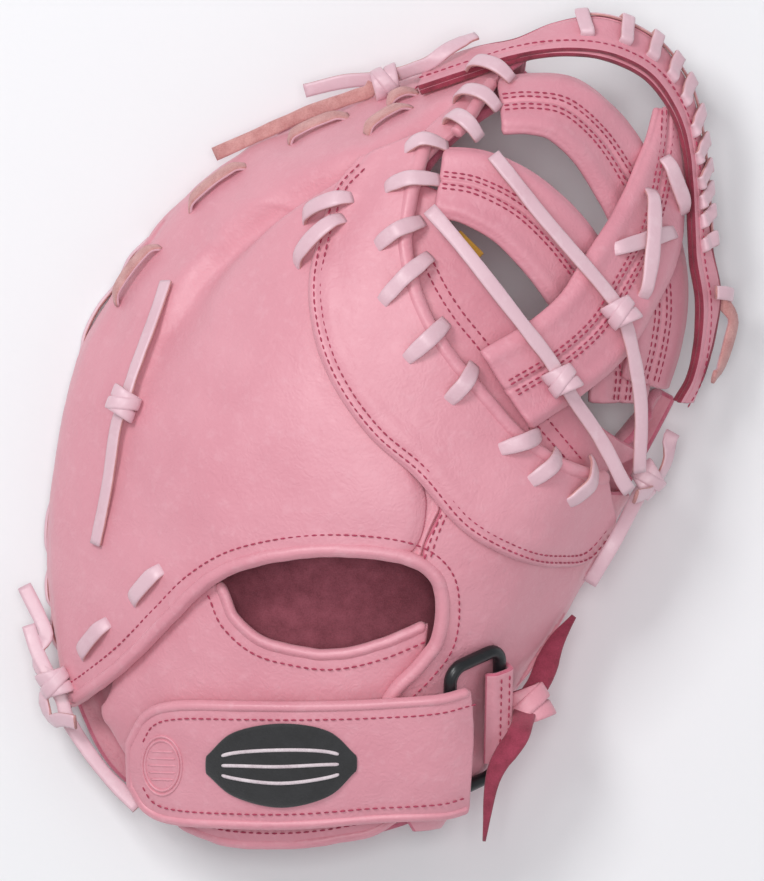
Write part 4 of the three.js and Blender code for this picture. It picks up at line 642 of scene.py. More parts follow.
@dataclass
class Thong:
    """A flat lace of rawhide with a smooth and a flesh side."""

    width: float = LACE_WIDTH
    thick: float = LACE_THICK
    flesh_up: bool = False
    taper: tuple[float, float] = (1.0, 1.0)
    seed: float = 0.0

    def shape(self, at: np.ndarray, side: np.ndarray, closed: bool = False
              ) -> tuple[np.ndarray, list[list[int]], list[int]]:
        """Sweeps the lace.

        Args:
            at: Points along the middle in millimetres, shape (n, 3).
            side: Directions of the width, shape (n, 3).
            closed: Whether the lace is a ring.

        Returns:
            Points, faces and material slots (0 smooth side, 1 flesh side).
        """
        n = len(at)
        run = (unit(np.roll(at, -1, 0) - np.roll(at, 1, 0)) if closed else unit(np.gradient(at, axis=0)))
        side = unit(side - run * np.einsum("ij,ij->i", side, run)[:, None])
        for k in range(1, n):
            if side[k] @ side[k - 1] < 0:
                side[k] = -side[k]
        up = unit(np.cross(side, run))
        share = np.linspace(0, 1, n)
        grow = np.minimum(1, np.minimum(self.taper[0] + (1 - self.taper[0]) * share * 4,
                                        self.taper[1] + (1 - self.taper[1]) * (1 - share) * 4))
        wave = np.array([noise.noise(Vector(p) / 9 + Vector((self.seed, 3, 1))) for p in at])
        w = self.width / 2 * grow * (1 + 0.09 * wave)
        h = self.thick / 2
        outline = [(1, 0.25), (0.93, 0.8), (0.6, 1.0), (0, 1.06), (-0.6, 1.0), (-0.93, 0.8), (-1, 0.25),
                   (-1, -0.55), (-0.9, -0.95), (0, -1.0), (0.9, -0.95), (1, -0.55)]
        m = len(outline)
        points = np.stack([at + side * (w * a)[:, None] + up * (h * b) for a, b in outline], 1).reshape(-1, 3)
        base = np.arange(n * m).reshape(n, m)
        faces, slots = [], []
        for i in range(n if closed else n - 1):
            j = (i + 1) % n
            for k in range(m):
                q = (k + 1) % m
                faces.append([base[i, k], base[j, k], base[j, q], base[i, q]])
                top = k < 6
                slots.append(int(top if self.flesh_up else not top))
        if not closed:
            faces.append(list(base[0]))
            faces.append(list(base[-1][::-1]))
            slots += [1, 1]
        quads = np.array([f for f in faces if len(f) == 4])
        p = points - points.mean(0)
        volume = np.einsum("ij,ij->i", p[quads[:, 0]], np.cross(p[quads[:, 1]], p[quads[:, 2]])).sum()
        volume += np.einsum("ij,ij->i", p[quads[:, 0]], np.cross(p[quads[:, 2]], p[quads[:, 3]])).sum()
        if volume < 0:
            faces = [f[::-1] for f in faces]
        return points, faces, slots


def join_shapes(name: str, shapes: Sequence[tuple], materials: Sequence) -> bpy.types.Object:
    """Puts several point, face and slot lists into one object."""
    points, faces, slots, start = [], [], [], 0
    for p, f, s in shapes:
        points.append(p)
        faces += [[int(v) + start for v in face] for face in f]
        slots += list(s)
        start += len(p)
    return to_mesh(name, np.vstack(points), faces, materials, slots)


def run_of(rows: Sequence[Sequence[float]], slope: float = STEEPEST, step: float = 1.6,
           dive: float = 0.0) -> tuple[np.ndarray, np.ndarray]:
    """Gives a lace's middle line and widths along the leather.

    Args:
        rows: Plan x, plan y, lift and, where given, rise of each knot.
        slope: Limit of the slope used for the normal.
        step: Spacing of the points in millimetres.
        dive: How far both ends go down into the leather.

    Returns:
        Points and width directions, each of shape (n, 3).
    """
    plan = np.array([list(row) + [0.0] * (4 - len(row)) for row in rows], float)
    length = np.hypot(np.diff(plan[:, 0]) * WIDTH, np.diff(plan[:, 1]) * LENGTH).sum()
    count = max(int(length / step), 6)
    f = np.linspace(0, 1, count + 1)
    values = spline(plan, f)
    lift = values[:, 2] - dive * (np.exp(-(f * length / 1.6) ** 2) + np.exp(-((1 - f) * length / 1.6) ** 2))
    at = place(values[:, :2], lift, slope)
    at[:, 2] += values[:, 3]
    for _ in range(3):
        at[1:-1] = (at[:-2] + 2 * at[1:-1] + at[2:]) / 4
    normal = place(values[:, :2], 1.0, slope) - place(values[:, :2], 0.0, slope)
    run = np.gradient(at, axis=0)
    return at, unit(np.cross(run, normal))


def lerp(a: Sequence[float], b: Sequence[float], f: float) -> np.ndarray:
    """Point at share f between two plan points."""
    return np.asarray(a, float) + (np.asarray(b, float) - np.asarray(a, float)) * f


# Finishes


def tone(red: float, green: float, blue: float) -> tuple[float, float, float, float]:
    """Turns display colour numbers from 0 to 255 into linear ones."""
    line = [c / 255 / 12.92 if c <= 10 else ((c / 255 + 0.055) / 1.055) ** 2.4 for c in (red, green, blue)]
    return (*line, 1.0)


class Graph:
    """Nodes and links of one shader tree."""

    def __init__(self, tree: bpy.types.NodeTree) -> None:
        """Starts from a tree."""
        self.tree = tree

    def node(self, kind: str, settings: Optional[dict] = None, **inputs: object) -> bpy.types.Node:
        """Adds a node.

        Args:
            kind: Node type without its ShaderNode prefix.
            settings: Properties of the node.
            inputs: Socket names, with spaces as underscores, and their values or source sockets.

        Returns:
            The node.
        """
        node = self.tree.nodes.new("ShaderNode" + kind if not kind.startswith("NodeGroup") else kind)
        for key, value in (settings or {}).items():
            setattr(node, key, value)
        for key, value in inputs.items():
            socket = node.inputs[int(key[1:])] if key[0] == "_" else node.inputs[key.replace("_", " ")]
            if isinstance(value, bpy.types.NodeSocket):
                self.tree.links.new(value, socket)
            else:
                socket.default_value = value
        return node

    def math(self, operation: str, a: object, b: object = 0.0, clamp: bool = False) -> bpy.types.NodeSocket:
        """Adds a maths node and gives its output."""
        return self.node("Math", {"operation": operation, "use_clamp": clamp}, _0=a, _1=b).outputs[0]

    def mix(self, share: object, a: object, b: object) -> bpy.types.NodeSocket:
        """Mixes two colours and gives the output."""
        node = self.tree.nodes.new("ShaderNodeMix")
        node.data_type = "RGBA"
        for index, value in ((0, share), (6, a), (7, b)):
            if isinstance(value, bpy.types.NodeSocket):
                self.tree.links.new(value, node.inputs[index])
            else:
                node.inputs[index].default_value = value
        return node.outputs[2]

    def spread(self, value: object, low: float, high: float, to_low: float = 0.0, to_high: float = 1.0
               ) -> bpy.types.NodeSocket:
        """Maps a range of a value to another range, clamped."""
        return self.node("MapRange", None, Value=value, From_Min=low, From_Max=high,
                         To_Min=to_low, To_Max=to_high).outputs[0]


def shader_group(name: str, inputs: Sequence[tuple[str, str, object]], outputs: Sequence[tuple[str, str]]
                 ) -> tuple[bpy.types.NodeTree, Graph, bpy.types.Node, bpy.types.Node]:
    """Makes an empty shader node group with its sockets.

    Args:
        name: Group name.
        inputs: Name, kind and default of each input.
        outputs: Name and kind of each output.

    Returns:
        The group, its graph, its input node and its output node.
    """
    tree = bpy.data.node_groups.new(name, "ShaderNodeTree")
    for label, kind, value in inputs:
        socket = tree.interface.new_socket(label, in_out="INPUT", socket_type="NodeSocket" + kind)
        socket.default_value = value
    for label, kind in outputs:
        tree.interface.new_socket(label, in_out="OUTPUT", socket_type="NodeSocket" + kind)
    return tree, Graph(tree), tree.nodes.new("NodeGroupInput"), tree.nodes.new("NodeGroupOutput")


def leather_group() -> bpy.types.NodeTree:
    """Makes the group for worked leather: mottled colour, pebbled grain and fine creases with painted shade
    in them.
    """
    tree, g, given, result = shader_group(
        "WorkedLeather",
        [("Colour", "Color", (1, 1, 1, 1)), ("Shade", "Color", (1, 1, 1, 1)), ("Grain", "Float", 1.0),
         ("Mottle", "Float", 0.5), ("Rough", "Float", 0.5), ("Pale", "Color", (1, 1, 1, 1))],
        [("Colour", "Color"), ("Roughness", "Float"), ("Height", "Float")],
    )
    at = g.node("TexCoord").outputs["Object"]
    broad = g.node("TexNoise", None, Vector=at, Scale=26.0, Detail=4.0, Roughness=0.6).outputs[0]
    fine = g.node("TexNoise", None, Vector=at, Scale=210.0, Detail=5.0, Roughness=0.62).outputs[0]
    bent = g.node("TexNoise", None, Vector=at, Scale=95.0, Detail=3.0).outputs["Color"]
    warped = g.node("VectorMath", {"operation": "MULTIPLY_ADD"}, _0=bent, _1=(0.012, 0.012, 0.012),
                    _2=at).outputs[0]
    pebble = g.node("TexVoronoi", {"feature": "SMOOTH_F1"}, Vector=warped, Scale=620.0,
                    Smoothness=0.6).outputs["Distance"]
    crease = g.node("TexVoronoi", {"feature": "DISTANCE_TO_EDGE"}, Vector=warped, Scale=120.0
                    ).outputs["Distance"]
    line = g.spread(crease, 0.0, 0.05, 0.6, 0.0)
    where = g.spread(broad, 0.52, 0.72)
    line = g.math("MULTIPLY", line, where)
    dark = g.math("MULTIPLY", g.spread(broad, 0.3, 0.72), given.outputs["Mottle"])
    colour = g.mix(dark, given.outputs["Colour"], given.outputs["Shade"])
    speck = g.math("MULTIPLY", g.spread(fine, 0.52, 0.75), 0.35)
    colour = g.mix(speck, colour, given.outputs["Pale"])
    # Painted shade: the colour along the fine crease lines is darkened towards the Shade colour.
    colour = g.mix(g.math("MULTIPLY", line, 0.25), colour, given.outputs["Shade"])
    rough = g.math("ADD", given.outputs["Rough"], g.spread(fine, 0.3, 0.7, -0.08, 0.1))
    height = g.math("MULTIPLY", pebble, -0.55)
    height = g.math("ADD", height, g.math("MULTIPLY", fine, 0.6))
    height = g.math("SUBTRACT", height, g.math("MULTIPLY", line, 0.5))
    height = g.math("MULTIPLY", height, given.outputs["Grain"])
    tree.links.new(colour, result.inputs["Colour"])
    tree.links.new(rough, result.inputs["Roughness"])
    tree.links.new(height, result.inputs["Height"])
    return tree


def suede_group() -> bpy.types.NodeTree:
    """Makes the group for flesh sides, cut edges and cloth: a matt nap of fine fibres."""
    tree, g, given, result = shader_group(
        "SuedeNap",
        [("Colour", "Color", (1, 1, 1, 1)), ("Shade", "Color", (1, 1, 1, 1)), ("Scale", "Float", 1.0),
         ("Rough", "Float", 0.85)],
        [("Colour", "Color"), ("Roughness", "Float"), ("Height", "Float")],
    )
    at = g.node("TexCoord").outputs["Object"]
    at = g.node("VectorMath", {"operation": "SCALE"}, _0=at, Scale=given.outputs["Scale"]).outputs[0]
    fibre = g.node("TexNoise", None, Vector=at, Scale=1500.0, Detail=4.0, Roughness=0.7).outputs[0]
    cloud = g.node("TexNoise", None, Vector=at, Scale=160.0, Detail=4.0, Roughness=0.65).outputs[0]
    share = g.math("ADD", g.spread(cloud, 0.35, 0.7, 0.0, 0.7), g.spread(fibre, 0.4, 0.7, 0.0, 0.5), True)
    tree.links.new(g.mix(share, given.outputs["Colour"], given.outputs["Shade"]), result.inputs["Colour"])
    tree.links.new(g.math("ADD", given.outputs["Rough"], g.spread(cloud, 0.3, 0.7, -0.05, 0.05)),
                   result.inputs["Roughness"])
    tree.links.new(fibre, result.inputs["Height"])
    return tree


def grouped_material(name: str, group: bpy.types.NodeTree, strength: float, distance: float,
                     **inputs: object) -> tuple[bpy.types.Material, bpy.types.Node]:
    """Makes a material whose colour, roughness and bump come from a group.

    Args:
        name: Material name.
        group: Shader node group with Colour, Roughness and Height.
        strength: Strength of the bump.
        distance: Depth of the bump in metres.
        inputs: Values of the group's inputs.

    Returns:
        The material and its shader.
    """
    material = bpy.data.materials.new(name)
    material.use_nodes = True
    g = Graph(material.node_tree)
    shader = material.node_tree.nodes["Principled BSDF"]
    node = g.node("Group", {"node_tree": group}, **inputs)
    bump = g.node("Bump", None, Strength=strength, Distance=distance, Height=node.outputs["Height"])
    material.node_tree.links.new(node.outputs["Colour"], shader.inputs["Base Color"])
    material.node_tree.links.new(node.outputs["Roughness"], shader.inputs["Roughness"])
    material.node_tree.links.new(bump.outputs[0], shader.inputs["Normal"])
    return material, shader


@dataclass(frozen=True)
class Leather:
    """Grain leather."""

    name: str
    colour: tuple
    shade: tuple
    pale: tuple
    grain: float = 1.0
    mottle: float = 0.55
    rough: float = 0.5
    coat: float = 0.12
    sheen: float = 0.12
    bump: float = 0.00045

    def material(self, group: bpy.types.NodeTree) -> bpy.types.Material:
        """Makes the material from the shared leather group."""
        material, shader = grouped_material(
            self.name, group, 0.55, self.bump, Colour=self.colour, Shade=self.shade, Pale=self.pale,
            Grain=self.grain, Mottle=self.mottle, Rough=self.rough,
        )
        shader.inputs["Coat Weight"].default_value = self.coat
        shader.inputs["Coat Roughness"].default_value = 0.35
        shader.inputs["Sheen Weight"].default_value = self.sheen
        shader.inputs["Sheen Roughness"].default_value = 0.5
        return material


@dataclass(frozen=True)
class Nap:
    """Matt surface of fibres: flesh side, raw edge, thread or cloth."""

    name: str
    colour: tuple
    shade: tuple
    scale: float = 1.0
    rough: float = 0.85
    sheen: float = 0.25
    bump: float = 0.0004

    def material(self, group: bpy.types.NodeTree) -> bpy.types.Material:
        """Makes the material from the shared nap group."""
        material, shader = grouped_material(
            self.name, group, 0.6, self.bump, Colour=self.colour, Shade=self.shade,
            Scale=self.scale, Rough=self.rough,
        )
        shader.inputs["Sheen Weight"].default_value = self.sheen
        shader.inputs["Sheen Roughness"].default_value = 0.6
        return material


class Finish(Enum):
    """Finishes of the mitt."""

    BACK = Leather("back_leather", tone(222, 153, 166), tone(207, 130, 145), tone(231, 175, 186))
    PALM = Leather("palm_leather", tone(215, 142, 156), tone(194, 118, 133), tone(226, 166, 177), mottle=0.7)
    WEB = Leather("web_leather", tone(220, 149, 163), tone(203, 125, 141), tone(230, 172, 184))
    ROLL = Leather("rolled_leather", tone(223, 152, 165), tone(206, 128, 144), tone(234, 181, 191),
                   grain=0.7, coat=0.2, rough=0.44)
    LACE = Leather("rawhide", tone(224, 188, 198), tone(208, 162, 174), tone(236, 210, 217),
                   grain=0.5, mottle=0.6, rough=0.42, coat=0.25, bump=0.0004)
    FLESH = Nap("rawhide_flesh", tone(214, 160, 156), tone(184, 122, 120))
    RAW = Nap("raw_edge", tone(158, 46, 72), tone(112, 26, 46))
    CUT = Nap("cut_edge", tone(214, 112, 136), tone(184, 84, 108))
    TIE = Nap("tie_flesh", tone(160, 50, 78), tone(120, 30, 52))
    LINING = Nap("lining_suede", tone(158, 78, 94), tone(122, 52, 66))
    THREAD = Nap("thread", tone(188, 58, 94), tone(150, 36, 68), scale=1.6, rough=0.6, sheen=0.1)
    BADGE = Nap("badge_cloth", tone(30, 30, 33), tone(14, 14, 16), scale=0.8, rough=0.7)
    STRIPE = Nap("badge_stripe", tone(226, 214, 218), tone(190, 170, 178), rough=0.6)
    TAB = Nap("tab_leather", tone(196, 144, 30), tone(160, 108, 16), rough=0.7)


class Palette:
    """Materials, one of each finish."""

    def __init__(self) -> None:
        """Makes every material once."""
        leather, nap = leather_group(), suede_group()
        self.made = {
            finish: finish.value.material(leather if isinstance(finish.value, Leather) else nap)
            for finish in Finish
        }
        self.ring = self.plastic("ring_plastic", tone(24, 26, 29), 0.34)
        self.floor = self.plastic("studio_floor", tone(236, 236, 238), 0.7)

    def __getitem__(self, finish: Finish) -> bpy.types.Material:
        """Gives a finish's material."""
        return self.made[finish]

    @staticmethod
    def plastic(name: str, colour: tuple, rough: float) -> bpy.types.Material:
        """Makes a plain surface with faint unevenness.

        Args:
            name: Material name.
            colour: Linear colour.
            rough: Middle roughness.

        Returns:
            The material.
        """
        material = bpy.data.materials.new(name)
        material.use_nodes = True
        g = Graph(material.node_tree)
        shader = material.node_tree.nodes["Principled BSDF"]
        shader.inputs["Base Color"].default_value = colour
        at = g.node("TexCoord").outputs["Object"]
        wave = g.node("TexNoise", None, Vector=at, Scale=400.0, Detail=4.0).outputs[0]
        bump = g.node("Bump", None, Strength=0.15, Distance=0.0002, Height=wave)
        material.node_tree.links.new(g.spread(wave, 0.3, 0.7, rough - 0.06, rough + 0.08),
                                     shader.inputs["Roughness"])
        material.node_tree.links.new(bump.outputs[0], shader.inputs["Normal"])
        return material


# Stitching


def stitch_nodes() -> bpy.types.NodeTree:
    """Makes the Geometry Nodes group that sets thread stitches along edges."""
    tree = bpy.data.node_groups.new("StitchRow", "GeometryNodeTree")
    face = tree.interface
    face.new_socket("Geometry", in_out="INPUT", socket_type="NodeSocketGeometry")
    for label, value in (("Pitch", 0.0036), ("Length", 0.0027), ("Radius", 0.00045)):
        face.new_socket(label, in_out="INPUT", socket_type="NodeSocketFloat").default_value = value
    face.new_socket("Seed", in_out="INPUT", socket_type="NodeSocketInt").default_value = 3
    face.new_socket("Material", in_out="INPUT", socket_type="NodeSocketMaterial")
    face.new_socket("Geometry", in_out="OUTPUT", socket_type="NodeSocketGeometry")
    new, link = tree.nodes.new, tree.links.new
    given, result = new("NodeGroupInput"), new("NodeGroupOutput")
    curve, points = new("GeometryNodeMeshToCurve"), new("GeometryNodeCurveToPoints")
    points.mode = "LENGTH"
    link(given.outputs["Geometry"], curve.inputs[0])
    link(curve.outputs[0], points.inputs["Curve"])
    link(given.outputs["Pitch"], points.inputs["Length"])
    ball = new("GeometryNodeMeshUVSphere")
    ball.inputs["Segments"].default_value = 6
    ball.inputs["Rings"].default_value = 5
    ball.inputs["Radius"].default_value = 1.0
    half = new("ShaderNodeMath")
    half.operation = "MULTIPLY"
    half.inputs[1].default_value = 0.5
    link(given.outputs["Length"], half.inputs[0])
    size = new("ShaderNodeCombineXYZ")
    link(given.outputs["Radius"], size.inputs[0])
    link(given.outputs["Radius"], size.inputs[1])
    link(half.outputs[0], size.inputs[2])
    vary = new("FunctionNodeRandomValue")
    vary.data_type = "FLOAT_VECTOR"
    vary.inputs[0].default_value = (0.88, 0.88, 0.88)
    vary.inputs[1].default_value = (1.1, 1.1, 1.08)
    link(given.outputs["Seed"], vary.inputs["Seed"])
    scale = new("ShaderNodeVectorMath")
    scale.operation = "MULTIPLY"
    link(size.outputs[0], scale.inputs[0])
    link(vary.outputs[0], scale.inputs[1])
    put = new("GeometryNodeInstanceOnPoints")
    link(points.outputs["Points"], put.inputs["Points"])
    link(ball.outputs["Mesh"], put.inputs["Instance"])
    link(points.outputs["Rotation"], put.inputs["Rotation"])
    link(scale.outputs[0], put.inputs["Scale"])
    real, dress = new("GeometryNodeRealizeInstances"), new("GeometryNodeSetMaterial")
    link(put.outputs[0], real.inputs[0])
    link(real.outputs[0], dress.inputs["Geometry"])
    link(given.outputs["Material"], dress.inputs["Material"])
    link(dress.outputs[0], result.inputs[0])
    return tree


@dataclass
class Stitcher:
    """Sews rows of stitches."""

    group: bpy.types.NodeTree
    thread: bpy.types.Material
    pitch: float = 3.1
    length: float = 2.3
    radius: float = 0.38

    def sew(self, name: str, rows: Sequence[np.ndarray], seed: int = 3) -> bpy.types.Object:
        """Sews rows as one plain mesh.

        Args:
            name: Piece name.
            rows: Points along each row in millimetres.
            seed: Seed of the stitches' variation.

        Returns:
            The stitches.
        """
        points, edges = [], []
        for row in rows:
            start = len(points)
            points += ((row + SHIFT) * MM).tolist()
            edges += [(start + k, start + k + 1) for k in range(len(row) - 1)]
        mesh = bpy.data.meshes.new(name + "_rows")
        mesh.from_pydata(points, edges, [])
        guide = bpy.data.objects.new(name + "_rows", mesh)
        bpy.context.scene.collection.objects.link(guide)
        modifier = guide.modifiers.new("stitches", "NODES")
        modifier.node_group = self.group
        sockets = {s.name: s.identifier for s in self.group.interface.items_tree if s.in_out == "INPUT"}
        values = {"Pitch": self.pitch * MM, "Length": self.length * MM, "Radius": self.radius * MM,
                  "Seed": seed, "Material": self.thread}
        for label, value in values.items():
            modifier[sockets[label]] = value
        ready = guide.evaluated_get(bpy.context.evaluated_depsgraph_get())
        plain = bpy.data.meshes.new_from_object(ready)
        plain.name = name
        bpy.data.objects.remove(guide)
        obj = bpy.data.objects.new(name, plain)
        bpy.context.scene.collection.objects.link(obj)
        plain.polygons.foreach_set("use_smooth", np.ones(len(plain.polygons), bool))
        return obj


def beside(curve: Curve, off: float, start: float = 0.0, end: float = 1.0, count: int = 160) -> np.ndarray:
    """Plan points beside a curve.

    Args:
        curve: Plan curve of shares.
        off: Millimetres to the right of the way it runs.
        start: First share.
        end: Last share.
        count: How many points.

    Returns:
        Plan points, shape (count, 2).
    """
    t = np.linspace(start, end, count)
    at = curve(t)
    run = np.gradient(at * [WIDTH, LENGTH], axis=0)
    run = unit(run)
    return at + np.stack([run[:, 1], -run[:, 0]], 1) * off / [WIDTH, LENGTH]


def line_of(points: Sequence[Sequence[float]], count: int = 120) -> np.ndarray:
    """Smooth plan line through a few points."""
    return spline(np.array(points, float), np.linspace(0, 1, count))


def groove(at: np.ndarray, line: np.ndarray, width: float, depth: float) -> np.ndarray:
    """Lowers plan points near a line.

    Args:
        at: Plan points, shape (n, 2).
        line: Plan points of the line, shape (m, 2).
        width: Reach in millimetres.
        depth: Depth in millimetres at the line, negative for a ridge.

    Returns:
        Lifts in millimetres, shape (n,).
    """
    scale = np.array([WIDTH, LENGTH])
    near = np.full(len(at), np.inf)
    for point in line[::2]:
        near = np.minimum(near, ((at - point) * scale) ** 2 @ np.ones(2))
    return -depth * np.exp(-near / width ** 2)


def sheet_grid(plan: Callable, lift: Callable, rows: int, cols: int, slope: float = STEEPEST) -> np.ndarray:
    """Points of a panel on the back.

    Args:
        plan: Plan points from two arrays of shares.
        lift: Lifts from two arrays of shares and the plan points.
        rows: Points along.
        cols: Points across.
        slope: Limit of the slope used for the normal.

    Returns:
        Grid in millimetres, shape (rows, cols, 3).
    """
    u, v = (a.ravel() for a in np.meshgrid(np.linspace(0, 1, rows), np.linspace(0, 1, cols), indexing="ij"))
    at = plan(u, v)
    return place(at, lift(u, v, at), slope).reshape(rows, cols, 3)


def turned_rim(grid: np.ndarray) -> np.ndarray:
    """Adds the turned rim in front of a panel's first column.

    Args:
        grid: Panel points, the rim at column 0.

    Returns:
        Grid with nine more columns, from the foot up.
    """
    edge = grid[:, 0]
    run = np.gradient(edge, axis=0)
    out = unit(np.stack([run[:, 1], -run[:, 0], np.zeros(len(run))], 1))
    out *= np.where(np.einsum("ij,ij->i", out, edge - RIM_MIDDLE) < 0, -1.0, 1.0)[:, None]
    low = np.minimum(rim_low(edge), edge[:, 2] - RIM_MIN_DROP)
    mid, foot = edge + out * RIM_BULGE, edge - out * RIM_TUCK
    mid[:, 2] = (edge[:, 2] + low) / 2
    foot[:, 2] = low
    turn = np.stack([foot, mid, edge, grid[:, 2]]).reshape(4, -1)
    bend = spline(turn, np.linspace(0, 2 / 3, 10)[:-1]).reshape(9, len(edge), 3)
    return np.concatenate([bend.transpose(1, 0, 2), grid], axis=1)


def between(a: Curve, b: Curve) -> Callable:
    """Plan of a panel between two curves."""
    return lambda u, v: a(u) + (b(u) - a(u)) * v[:, None]


# Sub-assemblies


@dataclass
class Assembly:
    """A group of pieces that belong together."""

    palette: Palette
    stitcher: Stitcher
    pieces: list[bpy.types.Object] = field(default_factory=list)

    slot: ClassVar[str] = "shell"

    def keep(self, obj: bpy.types.Object, *nodes: str, slot: Optional[str] = None) -> bpy.types.Object:
        """Attaches a piece to the root, hides the frame nodes that it stands for and keeps it in the list.

        Args:
            obj: The piece.
            nodes: Nodes of the frame that it stands for.
            slot: Not used.

        Returns:
            The piece.
        """
        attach(obj, "root")
        if nodes:
            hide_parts(*nodes)
        slot or self.slot
        self.pieces.append(obj)
        return obj

    def build(self) -> None:
        """Builds the pieces."""
        raise NotImplementedError


@dataclass
class BackPanels(Assembly):
    """Finger back, crescent and thumb base."""

    fold_depth: float = 7.6
    fold_at: float = 3 / 8
    fold_width: float = 0.06
    fold_reach: float = 0.988
    edge_reach: float = 0.986
    edge_dip: float = 1.7
    seam_rows: tuple = (-2.6, -5.2)
    opening_row: float = -6.1

    def build(self) -> None:
        """Builds the three panels and their stitches."""
        self.finger()
        self.crescent()
        self.base()
        opening = column(HAND_BINDING, 0)
        seam = column(CRESCENT_SEAM, 0)
        rows = [place(beside(opening, self.opening_row, 0.02, 0.98, 300), 0.2)]
        rows += [place(beside(seam, off, 0.01, 0.985, 300), LAYER + 0.2) for off in self.seam_rows]
        dart = line_of(DART)
        rows.append(place(dart, 0.25))
        joint = line_of(THUMB_SEAM)
        rows += [place(joint + [off / WIDTH, 0.3 * off / LENGTH], 0.25) for off in (2.6, 5.0)]
        self.keep(self.stitcher.sew("stitches_back", rows, 5))
        at = np.vstack([joint[0] + [0.004, 0.03], joint[0] + [0.002, 0.015], joint[::4],
                        joint[-1] - [0.0, 0.004]])
        grid = np.array([place(at + [off / WIDTH, 0.0], -1.0 - 1.7 * min(1, abs(off) / 1.5)) for off in
                         np.linspace(-10, 9, 29)]).transpose(1, 0, 2)
        self.keep(Sheet("thumb_seam_backing", grid, 1.0, self.palette[Finish.BACK]).build())

    def finger(self) -> None:
        """Builds the large panel with its long crease."""
        rim, fold, edge = (column(FINGER_BACK, k) for k in (0, 2, 4))
        dent = column(FINGER_BACK, 6, 1)
        lines = [line_of(line) for line in FINGER_FOLDS]
        laces = [np.array([lerp(row[:2], row[2:], f) for f in (0.0, 0.5, 1.0)]) for row in RIM_STRANDS]

        def plan(u: np.ndarray, v: np.ndarray) -> np.ndarray:
            v = v * self.edge_reach
            a, b, c = rim(u), fold(u), edge(u)
            low = a + (b - a) * (v / self.fold_at)[:, None]
            high = b + (c - b) * ((v - self.fold_at) / (1 - self.fold_at))[:, None]
            return np.where((v < self.fold_at)[:, None], low, high)

        def lift(u: np.ndarray, v: np.ndarray, at: np.ndarray) -> np.ndarray:
            off = (v * self.fold_reach - self.fold_at) / self.fold_width
            up = -self.fold_depth * dent(u)[:, 0] * np.exp(-off ** 2)
            up = up - self.edge_dip * np.exp(-((1 - v) * 130 / 2.2) ** 2)
            for line, (width, depth) in zip(lines, FOLD_SIZES):
                up = up + groove(at, line, width, depth)
            for lace in laces:
                up = up + groove(at, lace[[0, 0, 2, 2]], 5, 0.9) + groove(at, lace[[1, 1]], 7, -0.3)
            return up

        grid = turned_rim(sheet_grid(plan, lift, 230, 120))
        grid = rumple(rumple(grid, 0.55, 34, 1.0), 0.16, 7, 4.0)
        piece = Sheet("finger_back_leather", grid, BACK_WALL, self.palette[Finish.BACK],
                      self.palette[Finish.CUT]).build()
        self.keep(piece, "finger_back")

    def crescent(self) -> None:
        """Builds the panel over the thumb side, its edge turned down at the seam."""
        seam, welt = column(CRESCENT_SEAM, 0), column(WELT, 0)
        fold = line_of(CRESCENT_FOLD)

        def lift(u: np.ndarray, v: np.ndarray, at: np.ndarray) -> np.ndarray:
            wide = np.maximum(np.hypot(*((welt(u) - seam(u)) * [WIDTH, LENGTH]).T), 4)
            near = v * wide
            up = LAYER - 1.6 * np.exp(-(near / 1.1) ** 2) - 0.35 * np.exp(-((near - 3.9) / 1.6) ** 2)
            return up + 0.5 * np.exp(-((near - 9) / 3.5) ** 2) + groove(at, fold, 6, 1.3)

        grid = sheet_grid(between(seam, welt), lift, 220, 90)
        grid = rumple(rumple(grid, 0.45, 30, 7.0), 0.14, 7, 9.0)
        piece = Sheet("thumb_back_leather", grid, BACK_WALL, self.palette[Finish.BACK],
                      self.palette[Finish.CUT], 0.15).build()
        self.keep(piece, "thumb_back")

    def base(self) -> None:
        """Builds the panel below the crescent."""
        inner, rim = column(THUMB_BASE, 0), column(THUMB_BASE, 2)
        joint = line_of(THUMB_SEAM)
        grid = sheet_grid(between(rim, inner), lambda u, v, at: groove(at, joint, 1.3, 1.2), 170, 80)
        grid = rumple(rumple(turned_rim(grid), 0.5, 28, 12.0), 0.15, 7, 3.0)
        piece = Sheet("thumb_base_leather", grid, BACK_WALL, self.palette[Finish.BACK],
                      self.palette[Finish.CUT]).build()
        self.keep(piece, "thumb_base")


@dataclass
class Rolls(Assembly):
    """Rolled edges: the welts and the bindings."""

    def build(self) -> None:
        """Builds each roll along its curve."""
        leather = self.palette[Finish.ROLL]
        pad_top, hem = column(PAD, 0), column(PAD, 2)
        middle = PAD_LIFT - PAD_WALL / 2

        def wrist(t: np.ndarray) -> np.ndarray:
            return pad_top(1 / 3 + 2 / 3 * t)

        def low(t: np.ndarray) -> np.ndarray:
            return hem(0.22 + 0.78 * t)

        rolls = [
            ("web_welt", column(WELT, 0), WELT_LIFT, WELT_RADIUS, 190, 0.13),
            ("tip_welt", column(TIP_WELT, 0), WELT_LIFT, 2.6, 60, 0.1),
            ("opening_binding", column(HAND_BINDING, 0), -BACK_WALL / 2, 2.9, 300, 0.16),
            ("wrist_binding", wrist, middle, 2.3, 130, 0.14),
            ("hem_binding", low, middle, 2.3, 150, 0.14),
        ]
        for name, curve, lift, radius, count, seam in rolls:
            path = place(curve(np.linspace(0, 1, count)), lift)
            path = path + np.stack([
                [0.22 * noise.noise(Vector(p) / 6 + Vector((k, 0, 0))) for p in path] for k in (1, 5, 9)
            ], 1)
            self.keep(tube(name + "_roll", path, radius, leather, 18, seam=seam), name)


